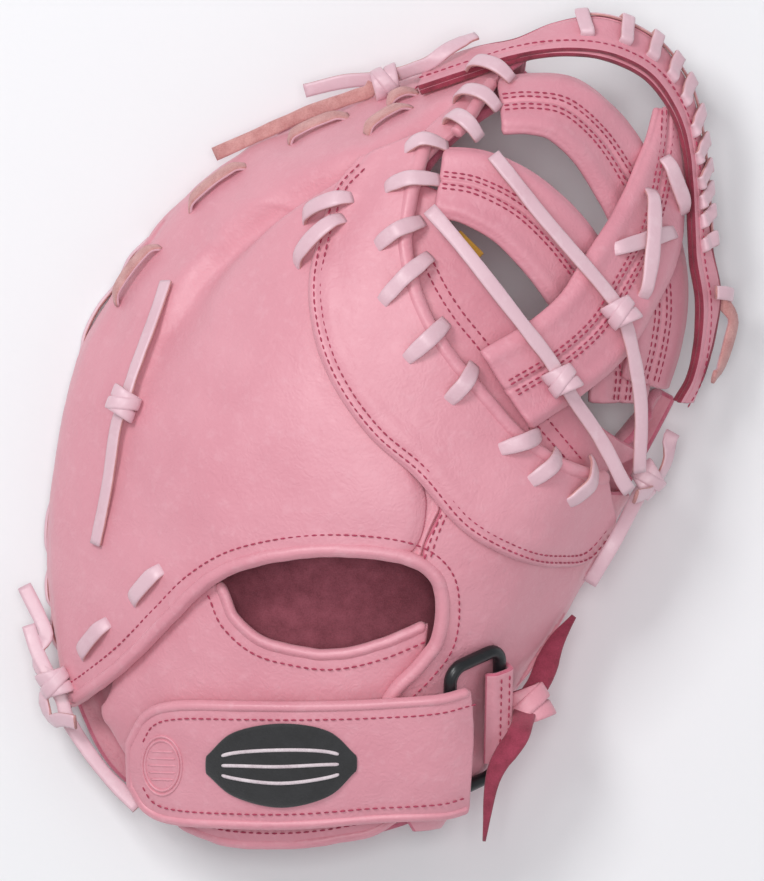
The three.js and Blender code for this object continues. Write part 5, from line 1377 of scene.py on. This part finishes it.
@dataclass
class Pocket(Assembly):
    """Padded palm, its lip beside the welt, and the lining."""

    wall: float = PALM_WALL
    along: int = 24
    drop: float = 14.0
    inset: float = 2.4
    flange: float = 8.0
    reach: float = 70.0

    def coarse(self) -> np.ndarray:
        """Points of the palm from its rim up to the crotch, as in the source."""
        u = np.linspace(0, 1, self.along + 1)
        rims, top = place(column(PALM, 0)(u)), place(column(PALM, 2)(u))
        top[:, 2] -= self.drop
        ahead = np.vstack([rims[1:], rims[-1:]]) - np.vstack([rims[:1], rims[:-1]])
        inward = unit(np.stack([-ahead[:, 1], ahead[:, 0], np.zeros(len(u))], 1))
        low = np.minimum(rim_low(rims), rims[:, 2] - RIM_MIN_DROP) - PALM_GAP
        start = rims + inward * self.inset
        start[:, 2] = low
        flat_top = top.copy()
        flat_top[:, 2] = low
        reach = np.linalg.norm(start - flat_top, axis=1)
        bend = start + inward * np.minimum(self.flange, reach * 0.3)[:, None]
        rows = [start]
        for share, rise in POCKET:
            p = bend + (top - bend) * share ** 1.5
            p = p + inward * (np.minimum(self.reach, reach * 0.6) * share * (1 - share))[:, None]
            p[:, 2] = low + (top[:, 2] - low) * rise
            rows.append(p)
        return np.stack(rows, 1)

    def build(self) -> None:
        """Builds palm, lip and lining."""
        coarse = self.coarse()
        grid = rumple(refine(coarse, 240, 110), 0.35, 26, 15.0)
        piece = Sheet("palm_leather_side", grid, self.wall, self.palette[Finish.PALM],
                      self.palette[Finish.CUT], floor=0.0).build()
        self.keep(piece, "palm", slot="palm")
        lined = coarse + grid_normals(coarse) * 1.5
        piece = Sheet("hand_lining_suede", rumple(refine(lined[8:19, 3:7], 110, 60), 0.5, 22, 2.0), 1.2,
                      self.palette[Finish.LINING]).build()
        self.keep(piece, "hand_lining", slot="lining")
        welt, edge = column(WELT, 0), column(PALM_LIP, 0)

        def plan(u: np.ndarray, v: np.ndarray) -> np.ndarray:
            a, b = welt(0.1 + 0.9 * u), edge(u)
            return a + (b - a) * (1.1 * v - 0.1)[:, None]

        grid = sheet_grid(plan, lambda u, v, at: LIP_LIFT + 0.0 * u, 130, 30)
        piece = Sheet("palm_lip_leather", rumple(grid, 0.2, 14, 6.0), WEB_WALL, self.palette[Finish.PALM],
                      self.palette[Finish.CUT]).build()
        self.keep(piece, "palm_lip")
        rows = [place(line_of(line), LIP_LIFT + 0.3) for line in LIP_STITCHES]
        self.keep(self.stitcher.sew("stitches_lip", rows, 8))


@dataclass
class Web(Assembly):
    """Two bars, a post and the folded arch with its raw edges."""

    seam_width: float = 0.6
    row_gaps: tuple = (1.5, 3.2)

    def build(self) -> None:
        """Builds the bands and the arch."""
        for name, table, count in (("web_bar_upper", BAR_UPPER, 90), ("web_bar_lower", BAR_LOWER, 90),
                                   ("web_post", POST, 200)):
            self.band(name, table, count)
        self.arch()

    def band(self, name: str, table: Sequence, count: int) -> None:
        """Builds one band with its middle seam and its rows of stitches.

        Args:
            name: Node of the frame.
            table: Centre, width and layer of the band.
            count: Points along it.
        """
        centre, wide, layer = column(table, 0), column(table, 2, 1), column(table, 3, 1)

        def aside(u: np.ndarray, off: np.ndarray) -> np.ndarray:
            a, b = centre(np.maximum(u - 0.01, 0)), centre(np.minimum(u + 0.01, 1))
            run = unit((b - a) * [WIDTH, LENGTH])
            return centre(u) + np.stack([-run[:, 1], run[:, 0]], 1) * off[:, None] / [WIDTH, LENGTH]

        def plan(u: np.ndarray, v: np.ndarray) -> np.ndarray:
            return aside(u, wide(u)[:, 0] * (v - 0.5))

        def lift(u: np.ndarray, v: np.ndarray, at: np.ndarray) -> np.ndarray:
            off = np.abs(v - 0.5) * wide(u)[:, 0]
            up = WEB_LIFT + layer(u)[:, 0] * WEB_LAYER - 1.1 * np.exp(-(off / self.seam_width) ** 2)
            edge = wide(u)[:, 0] / 2 - off
            return up - 1.3 * np.exp(-(edge / 1.5) ** 2) + 0.7 * np.exp(-((edge - 4) / 2.6) ** 2)

        grid = rumple(sheet_grid(plan, lift, count, 49, WEB_SLOPE), 0.22, 16, 21.0)
        piece = Sheet(name + "_leather", grid, WEB_WALL, self.palette[Finish.WEB], None, 0.4).build()
        self.keep(piece, name)
        u = np.linspace(0.015, 0.985, count)
        rows = []
        for side in (-1, 1):
            for off in self.row_gaps:
                at = aside(u, np.full(count, side * off))
                rows.append(place(at, WEB_LIFT + layer(u)[:, 0] * WEB_LAYER + 0.35, WEB_SLOPE))
        self.keep(self.stitcher.sew("stitches_" + name, rows, 11))

    def arch(self) -> None:
        """Builds the arch as two layers with bare cut edges inside."""
        outer, inner = column(WEB_RIM, 0), column(WEB_RIM, 2)

        def layer(drop: float, reach: float, start: float) -> np.ndarray:
            def plan(u: np.ndarray, v: np.ndarray) -> np.ndarray:
                share = start + v * (reach - start)
                return outer(u) + (inner(u) - outer(u)) * share[:, None]

            def lift(u: np.ndarray, v: np.ndarray, at: np.ndarray) -> np.ndarray:
                rounded = np.maximum(0, 1 - v / 0.14) ** 2
                sign = 1.0 if drop == 0 else -1.0
                return ARCH_LIFT - drop - sign * 1.5 * rounded - 0.3 * np.exp(-((v - 0.72) / 0.05) ** 2)

            return rumple(sheet_grid(plan, lift, 240, 34, WEB_SLOPE), 0.25, 18, 30.0 + drop)

        upper = Sheet("web_rim_upper_layer", layer(0, 0.97, 0.0), 2.1, self.palette[Finish.WEB],
                      self.palette[Finish.RAW], 0.12).build()
        lower = Sheet("web_rim_lower_layer", layer(2.3, 1.05, 0.0), 2.1, self.palette[Finish.WEB],
                      self.palette[Finish.RAW], 0.12).build()
        self.keep(upper, "web_rim")
        self.keep(lower)
        row = place(beside(inner, -3.4, 0.01, 0.99, 260), ARCH_LIFT + 0.1, WEB_SLOPE)
        self.keep(self.stitcher.sew("stitches_web_rim", [row], 13))


@dataclass
class WristClosure(Assembly):
    """Wrist pad, strap with badge and oval, ring with its loop, and the tie."""

    ring_width: float = 26.0
    ring_length: float = 57.0
    ring_wire: float = 5.2
    loop_width: float = 40.0

    def build(self) -> None:
        """Builds every piece of the closure."""
        self.pad()
        self.strap()
        self.ring()

    def pad(self) -> None:
        """Builds the padded wrist piece."""
        top, hem = column(PAD, 0), column(PAD, 2)

        def lift(u: np.ndarray, v: np.ndarray, at: np.ndarray) -> np.ndarray:
            return PAD_LIFT + 1.4 * np.sin(math.pi * v) - 0.4

        def plan(u: np.ndarray, v: np.ndarray) -> np.ndarray:
            share = np.clip((0.46 - u) / 0.16, 0, 1) * np.clip(u / 0.1, 0, 1)
            far = 13 * share ** 2 * (3 - 2 * share) * (1 - v) ** 2
            a = top(u) + (hem(u) - top(u)) * v[:, None]
            return a + far[:, None] * np.array([-0.6 / WIDTH, 0.8 / LENGTH])

        grid = rumple(sheet_grid(plan, lift, 150, 50), 0.4, 20, 40.0)
        piece = Sheet("wrist_pad_leather", grid, PAD_WALL, self.palette[Finish.BACK]).build()
        self.keep(piece, "wrist_pad")
        rows = [place(beside(top, 5.0, 0.36, 0.98, 200), PAD_LIFT + 0.5),
                place(beside(hem, -5.0, 0.24, 0.98, 200), PAD_LIFT + 0.5)]
        self.keep(self.stitcher.sew("stitches_pad", rows, 17))

    def strap(self) -> None:
        """Builds the strap, its rolled border, the badge and the embossed oval."""
        top, bottom, lift = column(STRAP, 0), column(STRAP, 2), column(STRAP, 4, 1)

        def raised(u: np.ndarray, v: np.ndarray, at: np.ndarray) -> np.ndarray:
            return lift(u)[:, 0] + 0.7 * np.sin(math.pi * np.clip(v, 0, 1)) ** 0.8 - 0.3

        grid = rumple(sheet_grid(between(top, bottom), raised, 170, 60), 0.3, 18, 50.0)
        piece = Sheet("wrist_strap_leather", grid, STRAP_WALL, self.palette[Finish.BACK]).build()
        self.keep(piece, "wrist_strap")
        t = np.linspace(0, 1, 120)
        edge = np.vstack([place(top(t[::-1]), lift(t[::-1])[:, 0] - STRAP_WALL / 2),
                          place(bottom(t), lift(t)[:, 0] - STRAP_WALL / 2)[1:]])
        self.keep(tube("strap_binding_roll", edge, 2.1, self.palette[Finish.ROLL], 16, seam=0.14),
                  "strap_binding")
        u = np.linspace(0.05, 0.985, 150)
        rows = []
        for curve, off in ((top, 4.6), (bottom, -4.6)):
            at = beside(curve, off, 0.05, 0.985, 150)
            rows.append(place(at, lift(u)[:, 0] + 0.35))
        cross = line_of(STRAP_CROSS)
        rows.append(place(cross, 4.75))
        self.keep(self.stitcher.sew("stitches_strap", rows, 19))
        badge_top, badge_bottom = column(BADGE, 0), column(BADGE, 2)
        grid = sheet_grid(between(badge_top, badge_bottom),
                          lambda u, v, at: 5.75 + 0.5 * np.sin(math.pi * v) ** 0.5, 80, 30)
        piece = Sheet("strap_badge_cloth", grid, 1.4, self.palette[Finish.BADGE]).build()
        self.keep(piece, "strap_badge", slot="badge")
        for k, share in enumerate((0.3, 0.5, 0.7)):
            u = np.linspace(0.16, 0.84, 50)
            at = badge_top(u) + (badge_bottom(u) - badge_top(u)) * share
            path = place(at, 6.25)
            self.keep(tube(f"badge_stripe_{k + 1}", path, 0.75, self.palette[Finish.STRIPE], 8, 0.6),
                      slot="badge")
        self.oval()

    def oval(self) -> None:
        """Builds the raised oval with its plain hatch lines."""
        centre, half = np.array(OVAL[0]), np.array(OVAL[1])
        a = np.linspace(0, 2 * math.pi, 80, endpoint=False)
        loops = []
        for grow in (1.0, 0.86):
            at = centre + np.stack([np.cos(a), np.sin(a)], 1) * half * grow
            loops.append(tube(f"strap_oval_{len(loops) + 1}", place(at, 4.35), 0.55,
                              self.palette[Finish.ROLL], 8, closed=True))
        for k, share in enumerate((-0.6, -0.3, 0.0, 0.3, 0.6)):
            wide = math.sqrt(1 - share ** 2) * 0.7
            x = np.linspace(-wide, wide, 12)
            at = centre + np.stack([x, np.full(12, share * 0.8)], 1) * half
            loops.append(tube(f"strap_hatch_{k + 1}", place(at, 4.35), 0.45, self.palette[Finish.ROLL], 8))
        for loop in loops:
            self.keep(loop)

    def ring(self) -> None:
        """Builds the ring and the leather loop over its right bar."""
        def spot(x: float, y: float) -> np.ndarray:
            return place(np.array([[0.620 + x / WIDTH, 0.161 + y / LENGTH]]), 4.2)[0]

        up = unit(spot(0, self.ring_length / 3) - spot(0, -self.ring_length / 3))
        right = spot(self.ring_width / 3, 0) - spot(-self.ring_width / 3, 0)
        right = unit(right - up * (up @ right))
        up = np.array(Matrix.Rotation(math.radians(2), 3, Vector(right)) @ Vector(up))
        right = np.array(Matrix.Rotation(math.radians(-3), 3, Vector(up)) @ Vector(right))
        away, centre = np.cross(right, up), spot(0, 0)
        w, h, corner = self.ring_width / 2, self.ring_length / 2, 6.0
        path = []
        for x, y, quarter in ((w, h, 0), (-w, h, 1), (-w, -h, 2), (w, -h, 3)):
            for k in range(9):
                a = (quarter + k / 8) * math.pi / 2
                cx = x - math.copysign(corner, x) + corner * math.cos(a)
                cy = y - math.copysign(corner, y) + corner * math.sin(a)
                path.append(centre + right * cx + up * cy)
        self.keep(tube("strap_ring_plastic", np.array(path), self.ring_wire / 2, self.palette.ring, 16,
                       closed=True), "strap_ring", slot="ring")
        rows = spline(np.array([(4.6, -2.4), (3.9, 2.2), (2.2, 4.1), (-2.4, 4.1), (-6, 3.4), (-8.6, 1.2)]),
                      np.linspace(0, 1, 40))
        y = np.linspace(-0.5, 0.5, 40) * self.loop_width
        grid = np.array([[centre + right * (w + x) + up * b + away * (z + 1.0) for b in y] for x, z in rows])
        piece = Sheet("ring_loop_leather", rumple(grid, 0.2, 12, 61.0), 2.0, self.palette[Finish.BACK],
                      self.palette[Finish.CUT]).build()
        self.keep(piece, "ring_loop")
        rows = [np.array([centre + right * (w + x) + up * b + away * (z + 1.3)
                          for b in np.linspace(-17, 17, 60)]) for x, z in ((0.6, 4.1), (-3.6, 4.0))]
        self.keep(self.stitcher.sew("stitches_loop", rows, 23))


@dataclass
class Lacing(Assembly):
    """Every rawhide lace, knot and tail."""

    rest: float = 1.4
    dive: float = 3.0
    seam_width: float = 4.4
    seam_height: float = 3.0
    arch_width: float = 5.4
    tip_tops: tuple = ((0.1, 2.4, 4.8), (-0.6, 2.2, 5), (5.7, 4.2, 3.4))
    rim_tops: tuple = ((0.1, 0.1, 1.1),) * 3 + ((-0.5, -0.5, 1.5), (-0.8, -0.8, 1.7))
    slot_tops: tuple = ((0.3, 0.3, 0.8),) * 2
    vee_tops: tuple = ((0, 3.9, 3.4), (3.9, 0, 3.4))
    cross_tops: tuple = ((3.9, 4.5, 0.8), (4.5, 4.5, 0.6), (4.9, 4.9, 3.6))

    slot: ClassVar[str] = "lace"

    @property
    def sides(self) -> list:
        """Materials of the smooth and the flesh side."""
        return [self.palette[Finish.LACE], self.palette[Finish.FLESH]]

    def build(self) -> None:
        """Builds strands, arch lace, seam lace, knots and tab."""
        self.strands("tip_lace", TIP_LOOPS, self.tip_tops)
        self.strands("rim_lace", RIM_STRANDS, self.rim_tops, flesh=True)
        self.strands("slot_lace", SLOT, self.slot_tops)
        self.strands("vee_lace", VEE, self.vee_tops)
        self.strands("cross_lace", CROSS, self.cross_tops, WEB_SLOPE)
        self.web_lace()
        self.arch_lace()
        self.seam_lace()
        for k, (name, knot) in enumerate(KNOTS.items()):
            self.knot(name, knot, k)
        at, side = run_of(ARCH_TAIL)
        self.keep(join_shapes("arch_tail_lace", [Thong(TAIL_WIDTH, seed=8.0).shape(at, side)], self.sides),
                  "arch_tail")
        self.tab()

    def strands(self, name: str, table: Sequence, tops: Sequence, slope: float = STEEPEST,
                flesh: bool = False) -> None:
        """Builds single strands that go into a hole at both ends.

        Args:
            name: Node name without its number.
            table: Plan points of both holes of each strand.
            tops: Lift at both ends and crown of each strand.
            slope: Limit of the slope used for the normal.
            flesh: Whether the flesh side shows.
        """
        for k, (row, (start, end, crown)) in enumerate(zip(table, tops)):
            rows = []
            for f in np.linspace(-0.02, 1.02, 14):
                x, y = lerp(row[:2], row[2:4], f)
                rows.append((x, y, start + (end - start) * f + self.rest + crown * 4 * f * (1 - f) + 0.3))
            at, side = run_of(rows, slope, 1.0, self.dive)
            shape = Thong(flesh_up=flesh, taper=(0.8, 0.8), seed=k * 3.1).shape(at, side)
            self.keep(join_shapes(f"{name}_{k + 1}_strand", [shape], self.sides), f"{name}_{k + 1}")

    def web_lace(self) -> None:
        """Builds the lace that goes over the welt between back and web."""
        shapes = []
        for k, row in enumerate(WEB_LOOPS):
            rows = []
            ends = (LAYER + self.rest, WEB_LIFT + self.rest)
            crown = WELT_LIFT + WELT_RADIUS + self.rest + 1.2
            for f in np.linspace(0, 1, 15):
                x, y = lerp(row[:2], row[2:4], f)
                base = ends[0] + (ends[1] - ends[0]) * f
                bump = math.exp(-(((f - 0.5) / 0.26) ** 2))
                rows.append((x, y, base + (crown - base) * bump))
            at, side = run_of(rows, STEEPEST, 1.0, self.dive)
            shapes.append(Thong(taper=(0.8, 0.8), seed=k * 1.7).shape(at, side))
        self.keep(join_shapes("web_lace_strands", shapes, self.sides), "web_lace")

    def arch_lace(self) -> None:
        """Builds the lace wound round the arch's outer edge."""
        outer, inner = column(WEB_RIM, 0), column(WEB_RIM, 2)

        def edge(t: float, out: float, lift: float) -> np.ndarray:
            a, b = place(outer(np.array([t - 0.004, t + 0.004])), lift, WEB_SLOPE)
            away = unit(np.array([a[1] - b[1], b[0] - a[0], 0.0]))
            return (a + b) / 2 + away * out

        shapes = []
        for k, t in enumerate(ARCH_LOOPS):
            a, b = outer(t)[0], inner(t)[0]
            hole, middle = (place(lerp(a, b, share)[None], ARCH_LIFT + self.rest + 0.5, WEB_SLOPE)[0]
                            for share in (0.52, 0.26))
            sunk = place(lerp(a, b, 0.57)[None], ARCH_LIFT - 2.0, WEB_SLOPE)[0]
            along = unit(edge(t + 0.01, 0, ARCH_LIFT) - edge(t - 0.01, 0, ARCH_LIFT))
            path = np.array([sunk, hole, middle, edge(t, 1.2, ARCH_LIFT + self.rest + 0.3),
                             edge(t, 2.6, ARCH_LIFT - 1.6), edge(t, 2.2, ARCH_LIFT - 5.2),
                             edge(t, -2.4, ARCH_LIFT - 7.4)])
            at = spline(path, np.linspace(0, 1, 40))
            shapes.append(Thong(self.arch_width, seed=k * 2.3).shape(at, np.repeat(along[None], 40, 0)))
        t = np.linspace(ARCH_LOOPS[0], ARCH_LOOPS[-1], 90)
        path = np.array([edge(v, 1.75, ARCH_LIFT - 2.2) for v in t])
        shapes.append(Thong(3.0, 1.2).shape(path, np.repeat([[0.0, 0.0, 1.0]], 90, 0)))
        self.keep(join_shapes("arch_lace_loops", shapes, self.sides), "arch_lace")

    def seam_lace(self) -> None:
        """Builds the lace outside the rim's seam, its flesh side out."""
        rim = column(FINGER_BACK, 0)
        path = []
        for u, out in SEAM_LACE:
            a, b = place(rim(np.array([u - 0.004, u + 0.004])))
            away = unit(np.array([b[1] - a[1], a[0] - b[0], 0.0]))
            if away @ (a - RIM_MIDDLE) < 0:
                away = -away
            at = (a + b) / 2 + away * out
            at[2] = rim_low(at[None])[0] - PALM_GAP - PALM_WALL + self.seam_height
            path.append(at)
        at = spline(np.array(path), np.linspace(0, 1, 260))
        lace = Thong(self.seam_width, flesh_up=True, seed=5.0)
        shape = lace.shape(at, np.repeat([[0.0, 0.0, 1.0]], 260, 0))
        self.keep(join_shapes("seam_lace_strand", [shape], self.sides), "seam_lace")

    def knot(self, name: str, knot: dict, seed: int) -> None:
        """Builds a knot: its strands and the wrap round them.

        Args:
            name: Node of the frame.
            knot: Strands, middle and sizes.
            seed: Seed of the width's variation.
        """
        slope, tie = knot.get("slope", STEEPEST), name == "wrist_tie"
        width, ends = knot.get("width", TAIL_WIDTH), knot.get("ends", (1.0, 1.0))
        shapes = []
        for k, rows in enumerate(knot["strands"]):
            at, side = run_of(rows, slope)
            flesh = tie or (name == "top_knot" and k == 1)
            shapes.append(Thong(width, LACE_THICK, flesh, ends, seed * 2.9 + k).shape(at, side))
        angle = math.radians(knot["turn"])
        run = np.array([math.cos(angle), math.sin(angle), 0.0])
        across = np.array([-run[1], run[0], 0.0])
        size, height = knot.get("size", 4.4), knot.get("height", 3.4)
        middle = place(np.array([knot["middle"]]), knot["lift"] + 0.3 + height + LACE_THICK / 2, slope)[0]
        middle[2] += knot.get("rise", 0.0)
        a = np.linspace(0, 2 * math.pi, 28, endpoint=False)
        big = 1.5 if tie else 1.15
        wraps = ((0.25, -2.2 * big, big), (-0.35, 0.2, 1.12 * big), (0.3, 2.5 * big, 0.98 * big))
        for lean, shift, grow in wraps:
            ring = (middle + across * (size * grow * np.cos(a))[:, None] + run * shift
                    + run * (lean * size * np.cos(a))[:, None]
                    + np.array([0, 0, 1.0]) * (height * grow * np.sin(a))[:, None])
            shapes.append(Thong(min(width, 7.5) * 0.9, LACE_THICK, seed=seed + shift)
                          .shape(ring, np.repeat(-run[None], 28, 0), True))
        sides = [self.palette[Finish.BACK], self.palette[Finish.TIE]] if tie else self.sides
        self.keep(join_shapes(name + "_lace", shapes, sides), name, slot="tie" if tie else "lace")

    def tab(self) -> None:
        """Builds the small tab under the lower band."""
        a, b, c = (np.array(p) for p in TAB)

        def plan(u: np.ndarray, v: np.ndarray) -> np.ndarray:
            return a + (b - a) * u[:, None] + (v[:, None] - 0.5) * c

        grid = sheet_grid(plan, lambda u, v, at: -6.3 + 0.0 * u, 20, 12, WEB_SLOPE)
        self.keep(Sheet("crotch_tab_piece", grid, 1.4, self.palette[Finish.TAB]).build(),
                  "crotch_tab", slot="tab")


@dataclass
class Studio:
    """Floor, lamps and the camera straight above the mitt."""

    palette: Palette
    middle: tuple = (0.0011, -0.0051)
    height: float = 3.06
    lens: float = 314.0

    def build(self) -> None:
        """Sets the stage."""
        mesh = bpy.data.meshes.new("floor")
        mesh.from_pydata([(-3, -3, 0), (3, -3, 0), (3, 3, 0), (-3, 3, 0)], [], [(0, 1, 2, 3)])
        mesh.materials.append(self.palette.floor)
        floor = bpy.data.objects.new("floor", mesh)
        bpy.context.scene.collection.objects.link(floor)
        lamps = [self.lamp("key", (-0.75, 0.8, 1.6), 16, 0.6), self.lamp("fill", (1.2, -0.6, 1.4), 3, 1.3),
                 self.lamp("top", (0.0, 0.05, 2.5), 18, 0.7)]
        world = bpy.data.worlds.new("studio")
        bpy.context.scene.world = world
        world.use_nodes = True
        world.node_tree.nodes["Background"].inputs[0].default_value = (0.95, 0.96, 1.0, 1.0)
        world.node_tree.nodes["Background"].inputs[1].default_value = 0.42
        camera = bpy.data.cameras.new("camera")
        camera.lens = self.lens
        camera.sensor_fit = "VERTICAL"
        camera.sensor_height = 36
        camera.clip_end = 20
        eye = bpy.data.objects.new("camera", camera)
        eye.location = (*self.middle, self.height)
        bpy.context.scene.collection.objects.link(eye)
        bpy.context.scene.camera = eye
        bpy.context.scene.view_settings.view_transform = "Standard"

    @staticmethod
    def lamp(name: str, at: tuple, power: float, size: float) -> bpy.types.Object:
        """Adds an area lamp turned to the mitt."""
        data = bpy.data.lights.new(name, "AREA")
        data.energy = power
        data.size = size
        lamp = bpy.data.objects.new(name, data)
        lamp.location = at
        lamp.rotation_euler = (Vector((0, 0, 0.05)) - Vector(at)).to_track_quat("-Z", "Y").to_euler()
        bpy.context.scene.collection.objects.link(lamp)
        return lamp


def main() -> None:
    """Builds the mitt and its studio."""
    logging.basicConfig(level=logging.INFO, format="%(name)s %(message)s")
    palette = Palette()
    stitcher = Stitcher(stitch_nodes(), palette[Finish.THREAD])
    for kind in (BackPanels, Rolls, Pocket, Web, WristClosure, Lacing):
        part = kind(palette, stitcher)
        part.build()
        for piece in part.pieces:
            log.info("%s %s %d faces", kind.__name__, piece.name, len(piece.data.polygons))
    Studio(palette).build()


if __name__ == "__main__":
    main()
